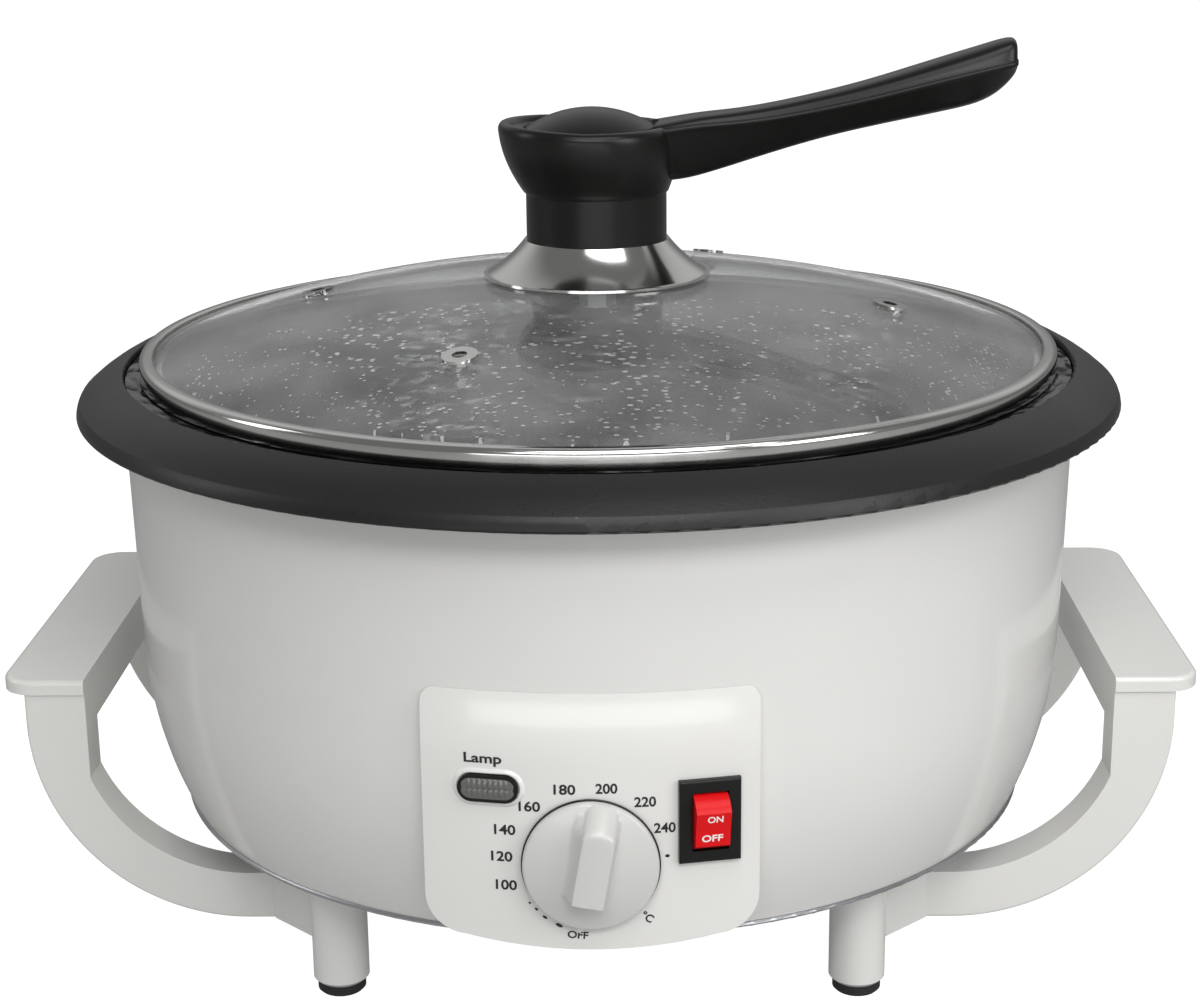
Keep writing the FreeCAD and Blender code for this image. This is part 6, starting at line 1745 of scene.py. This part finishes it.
@dataclass(frozen=True)
class Lamp:
    """A soft box.

    Attributes:
        name: its name.
        place: where it hangs.
        target: where it points.
        size: its width and height.
        power: its power, in watts.
    """

    name: str
    place: tuple
    target: tuple
    size: tuple
    power: float

    def hang(self) -> None:
        """Adds it to the scene."""
        Bench.clear()
        bpy.ops.object.light_add(type="AREA", location=self.place)
        lamp = Bench.name(bpy.context.object, self.name)
        lamp.data.shape = "RECTANGLE"
        lamp.data.size, lamp.data.size_y = self.size
        lamp.data.energy = self.power
        aim = Vector(self.target) - Vector(self.place)
        lamp.rotation_euler = aim.to_track_quat("-Z", "Y").to_euler()


@dataclass
class Studio:
    """Camera, floor and lamps.

    Attributes:
        eye: where the camera stands.
        pitch: how far it looks down, in radians.
        yaw: how far it looks to the side.
        roll: how far it is tipped.
        lens: its focal length, in millimetres.
        room: brightness of the room.
        wall: brightness of the wall behind the object.
        white: brightness of the floor as the camera sees it.
        below: brightness of the floor in front as a light.
        behind: brightness of the floor behind the object as a light.
        lamps: the soft boxes.
        FILM: width of the camera's film, in millimetres.
        SIGHT: how far the camera sees.
        FLOOR: radius of the floor.
        FLOOR_GREY: the floor's own colour.
        FLOOR_TURN: how far before and behind the axis its light goes from one level to the other.
        WALL_TURN: how far towards the back the wall starts and is whole, 1 for straight back.
        WALL_RISE: the same upwards.
    """

    FILM = 36.0
    SIGHT = 40.0
    FLOOR = 14.0
    FLOOR_GREY = 0.25
    FLOOR_TURN = (-0.1, 0.5)
    WALL_TURN = (0.15, 0.75)
    WALL_RISE = (0.1, 0.4)

    eye: tuple = (0.01657, -0.72448, 0.33738)
    pitch: float = 0.27986
    yaw: float = -0.02276
    roll: float = -0.0114
    lens: float = 69.0
    room: float = 0.2
    wall: float = 0.62
    white: float = 1.0
    below: float = 0.19
    behind: float = 0.12
    lamps: tuple = (
        Lamp("key_lamp", (1.25, -0.95, 0.8), (0.0, 0.0, 0.1), (0.7, 0.9), 9.0),
        Lamp("top_lamp", (0.25, -0.6, 1.4), (0.0, 0.0, 0.1), (1.0, 0.6), 6.5),
        Lamp("front_lamp", (0.02, -1.1, 0.16), (0.0, 0.0, 0.13), (1.15, 0.2), 1.7),
        Lamp("high_lamp", (0.1, -1.0, 0.84), (0.0, 0.0, 0.12), (0.9, 0.3), 5.3),
        Lamp("side_lamp", (-1.3, -0.1, 0.6), (0.0, 0.0, 0.12), (0.3, 0.8), 2.3),
    )

    def build(self) -> None:
        """Sets up everything that isn't the object."""
        self.camera()
        self.floor()
        self.sky()
        for lamp in self.lamps:
            lamp.hang()

    def camera(self) -> None:
        """Places the camera."""
        ahead = Vector(
            (
                math.sin(self.yaw) * math.cos(self.pitch),
                math.cos(self.yaw) * math.cos(self.pitch),
                -math.sin(self.pitch),
            )
        )
        level = Vector((math.cos(self.yaw), -math.sin(self.yaw), 0.0))
        upright = level.cross(ahead)
        right = math.cos(self.roll) * level + math.sin(self.roll) * upright
        top = math.cos(self.roll) * upright - math.sin(self.roll) * level
        Bench.clear()
        bpy.ops.object.camera_add(location=self.eye)
        camera = Bench.name(bpy.context.object, "photo_camera")
        turn = Matrix((right, top, -ahead)).transposed().to_4x4()
        camera.matrix_world = Matrix.Translation(self.eye) @ turn
        camera.data.sensor_width = self.FILM
        camera.data.sensor_fit = "HORIZONTAL"
        camera.data.lens = self.lens
        camera.data.clip_end = self.SIGHT
        bpy.context.scene.camera = camera

    def floor(self) -> None:
        """Lays the floor: white to the camera and through glass, and a softer light from below."""
        Bench.clear()
        bpy.ops.mesh.primitive_circle_add(vertices=64, radius=self.FLOOR, fill_type="NGON")
        floor = Bench.name(bpy.context.object, "studio_floor")
        recipe = Recipe("studio_floor_finish")
        seen = recipe.node("ShaderNodeLightPath", output="Is Camera Ray")
        through = recipe.node("ShaderNodeLightPath", output="Is Transmission Ray")
        white = (seen + through) > 0.5
        along = recipe.node("ShaderNodeSeparateXYZ", None, {"Vector": recipe.place}, "Y")
        from_below = along.spread(*self.FLOOR_TURN, self.below, self.behind)
        recipe.set(
            Base_Color=(self.FLOOR_GREY, self.FLOOR_GREY, self.FLOOR_GREY, 1.0),
            Roughness=0.9,
            Specular_IOR_Level=0.0,
            Emission_Color=(1.0, 1.0, 1.0, 1.0),
            Emission_Strength=white * self.white + (1.0 - white) * from_below,
        )
        floor.data.materials.append(recipe.material)
        floor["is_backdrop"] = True

    def sky(self) -> None:
        """Fills the room with dim light and a bright wall behind, all white to the camera."""
        world = bpy.data.worlds.new("studio_light")
        bpy.context.scene.world = world
        world.use_nodes = True
        tree = world.node_tree
        way = tree.nodes.new("ShaderNodeSeparateXYZ")
        tree.links.new(tree.nodes.new("ShaderNodeTexCoord").outputs["Generated"], way.inputs[0])
        back = self.step(tree, way.outputs["Y"], self.WALL_TURN, (0.0, 1.0))
        brighter = self.wall - self.room
        above = self.step(tree, way.outputs["Z"], self.WALL_RISE, (0.0, brighter))
        share = tree.nodes.new("ShaderNodeMath")
        share.operation = "MULTIPLY_ADD"
        tree.links.new(back, share.inputs[0])
        tree.links.new(above, share.inputs[1])
        share.inputs[2].default_value = self.room
        rays = tree.nodes.new("ShaderNodeLightPath")
        total = tree.nodes.new("ShaderNodeMath")
        tree.links.new(share.outputs[0], total.inputs[0])
        tree.links.new(rays.outputs["Is Camera Ray"], total.inputs[1])
        room = tree.nodes["Background"]
        room.inputs["Color"].default_value = (1.0, 1.0, 1.0, 1.0)
        tree.links.new(total.outputs[0], room.inputs["Strength"])
        bpy.context.scene.view_settings.view_transform = "Standard"

    @staticmethod
    def step(
        tree: bpy.types.NodeTree, value: bpy.types.NodeSocket, ends: tuple, levels: tuple
    ) -> bpy.types.NodeSocket:
        """A smooth step in the light of the room.

        Args:
            tree: the world's shader tree.
            value: what it follows.
            ends: where the step starts and ends.
            levels: the levels before and after it.

        Returns:
            The level.
        """
        node = tree.nodes.new("ShaderNodeMapRange")
        node.interpolation_type = "SMOOTHSTEP"
        tree.links.new(value, node.inputs["Value"])
        keys = ("From Min", "From Max", "To Min", "To Max")
        for key, level in zip(keys, (*ends, *levels)):
            node.inputs[key].default_value = level
        return node.outputs[0]


class Roaster:
    """The dressed roaster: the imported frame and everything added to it."""

    def __init__(self, frame: dict) -> None:
        """Takes the loaded frame.
        """
        self.frame = frame
        self.paints = Paintbox()

    def paint_frame(self) -> None:
        """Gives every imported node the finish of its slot."""
        for part in self.frame["record"]["subparts"]:
            slot = Slot(part["material_slot"])
            node = self.frame["nodes"][part["node"]]
            self.paints.paint(node, self.paints.finish(slot))
        log.info("painted %d packed nodes", len(self.frame["nodes"]))

    def build(self) -> None:
        """Adds each sub-assembly in turn."""
        self.paint_frame()
        PanelPrint().build(self.paints)
        Knob().build(self.paints)
        Rocker().build(self.paints, self.frame["nodes"]["switch_rocker"])
        PilotLamp().build(self.paints)
        LidRim(seat=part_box("lid_band")[0].z / MM + LidRim.depth).build(self.paints)
        LidHandle(foot=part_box("lid_handle")[0].z / MM).build(self.paints)


def corners() -> list:
    """The whole object's box as plain lists of numbers."""
    return [[float(value) for value in corner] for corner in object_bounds()]


def main() -> None:
    """Loads the frame and dresses it."""
    logging.basicConfig(level=logging.INFO, format="%(name)s: %(message)s")
    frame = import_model()
    Studio().build()
    Roaster(frame).build()
    bpy.context.view_layer.update()


if __name__ == "__main__":
    main()
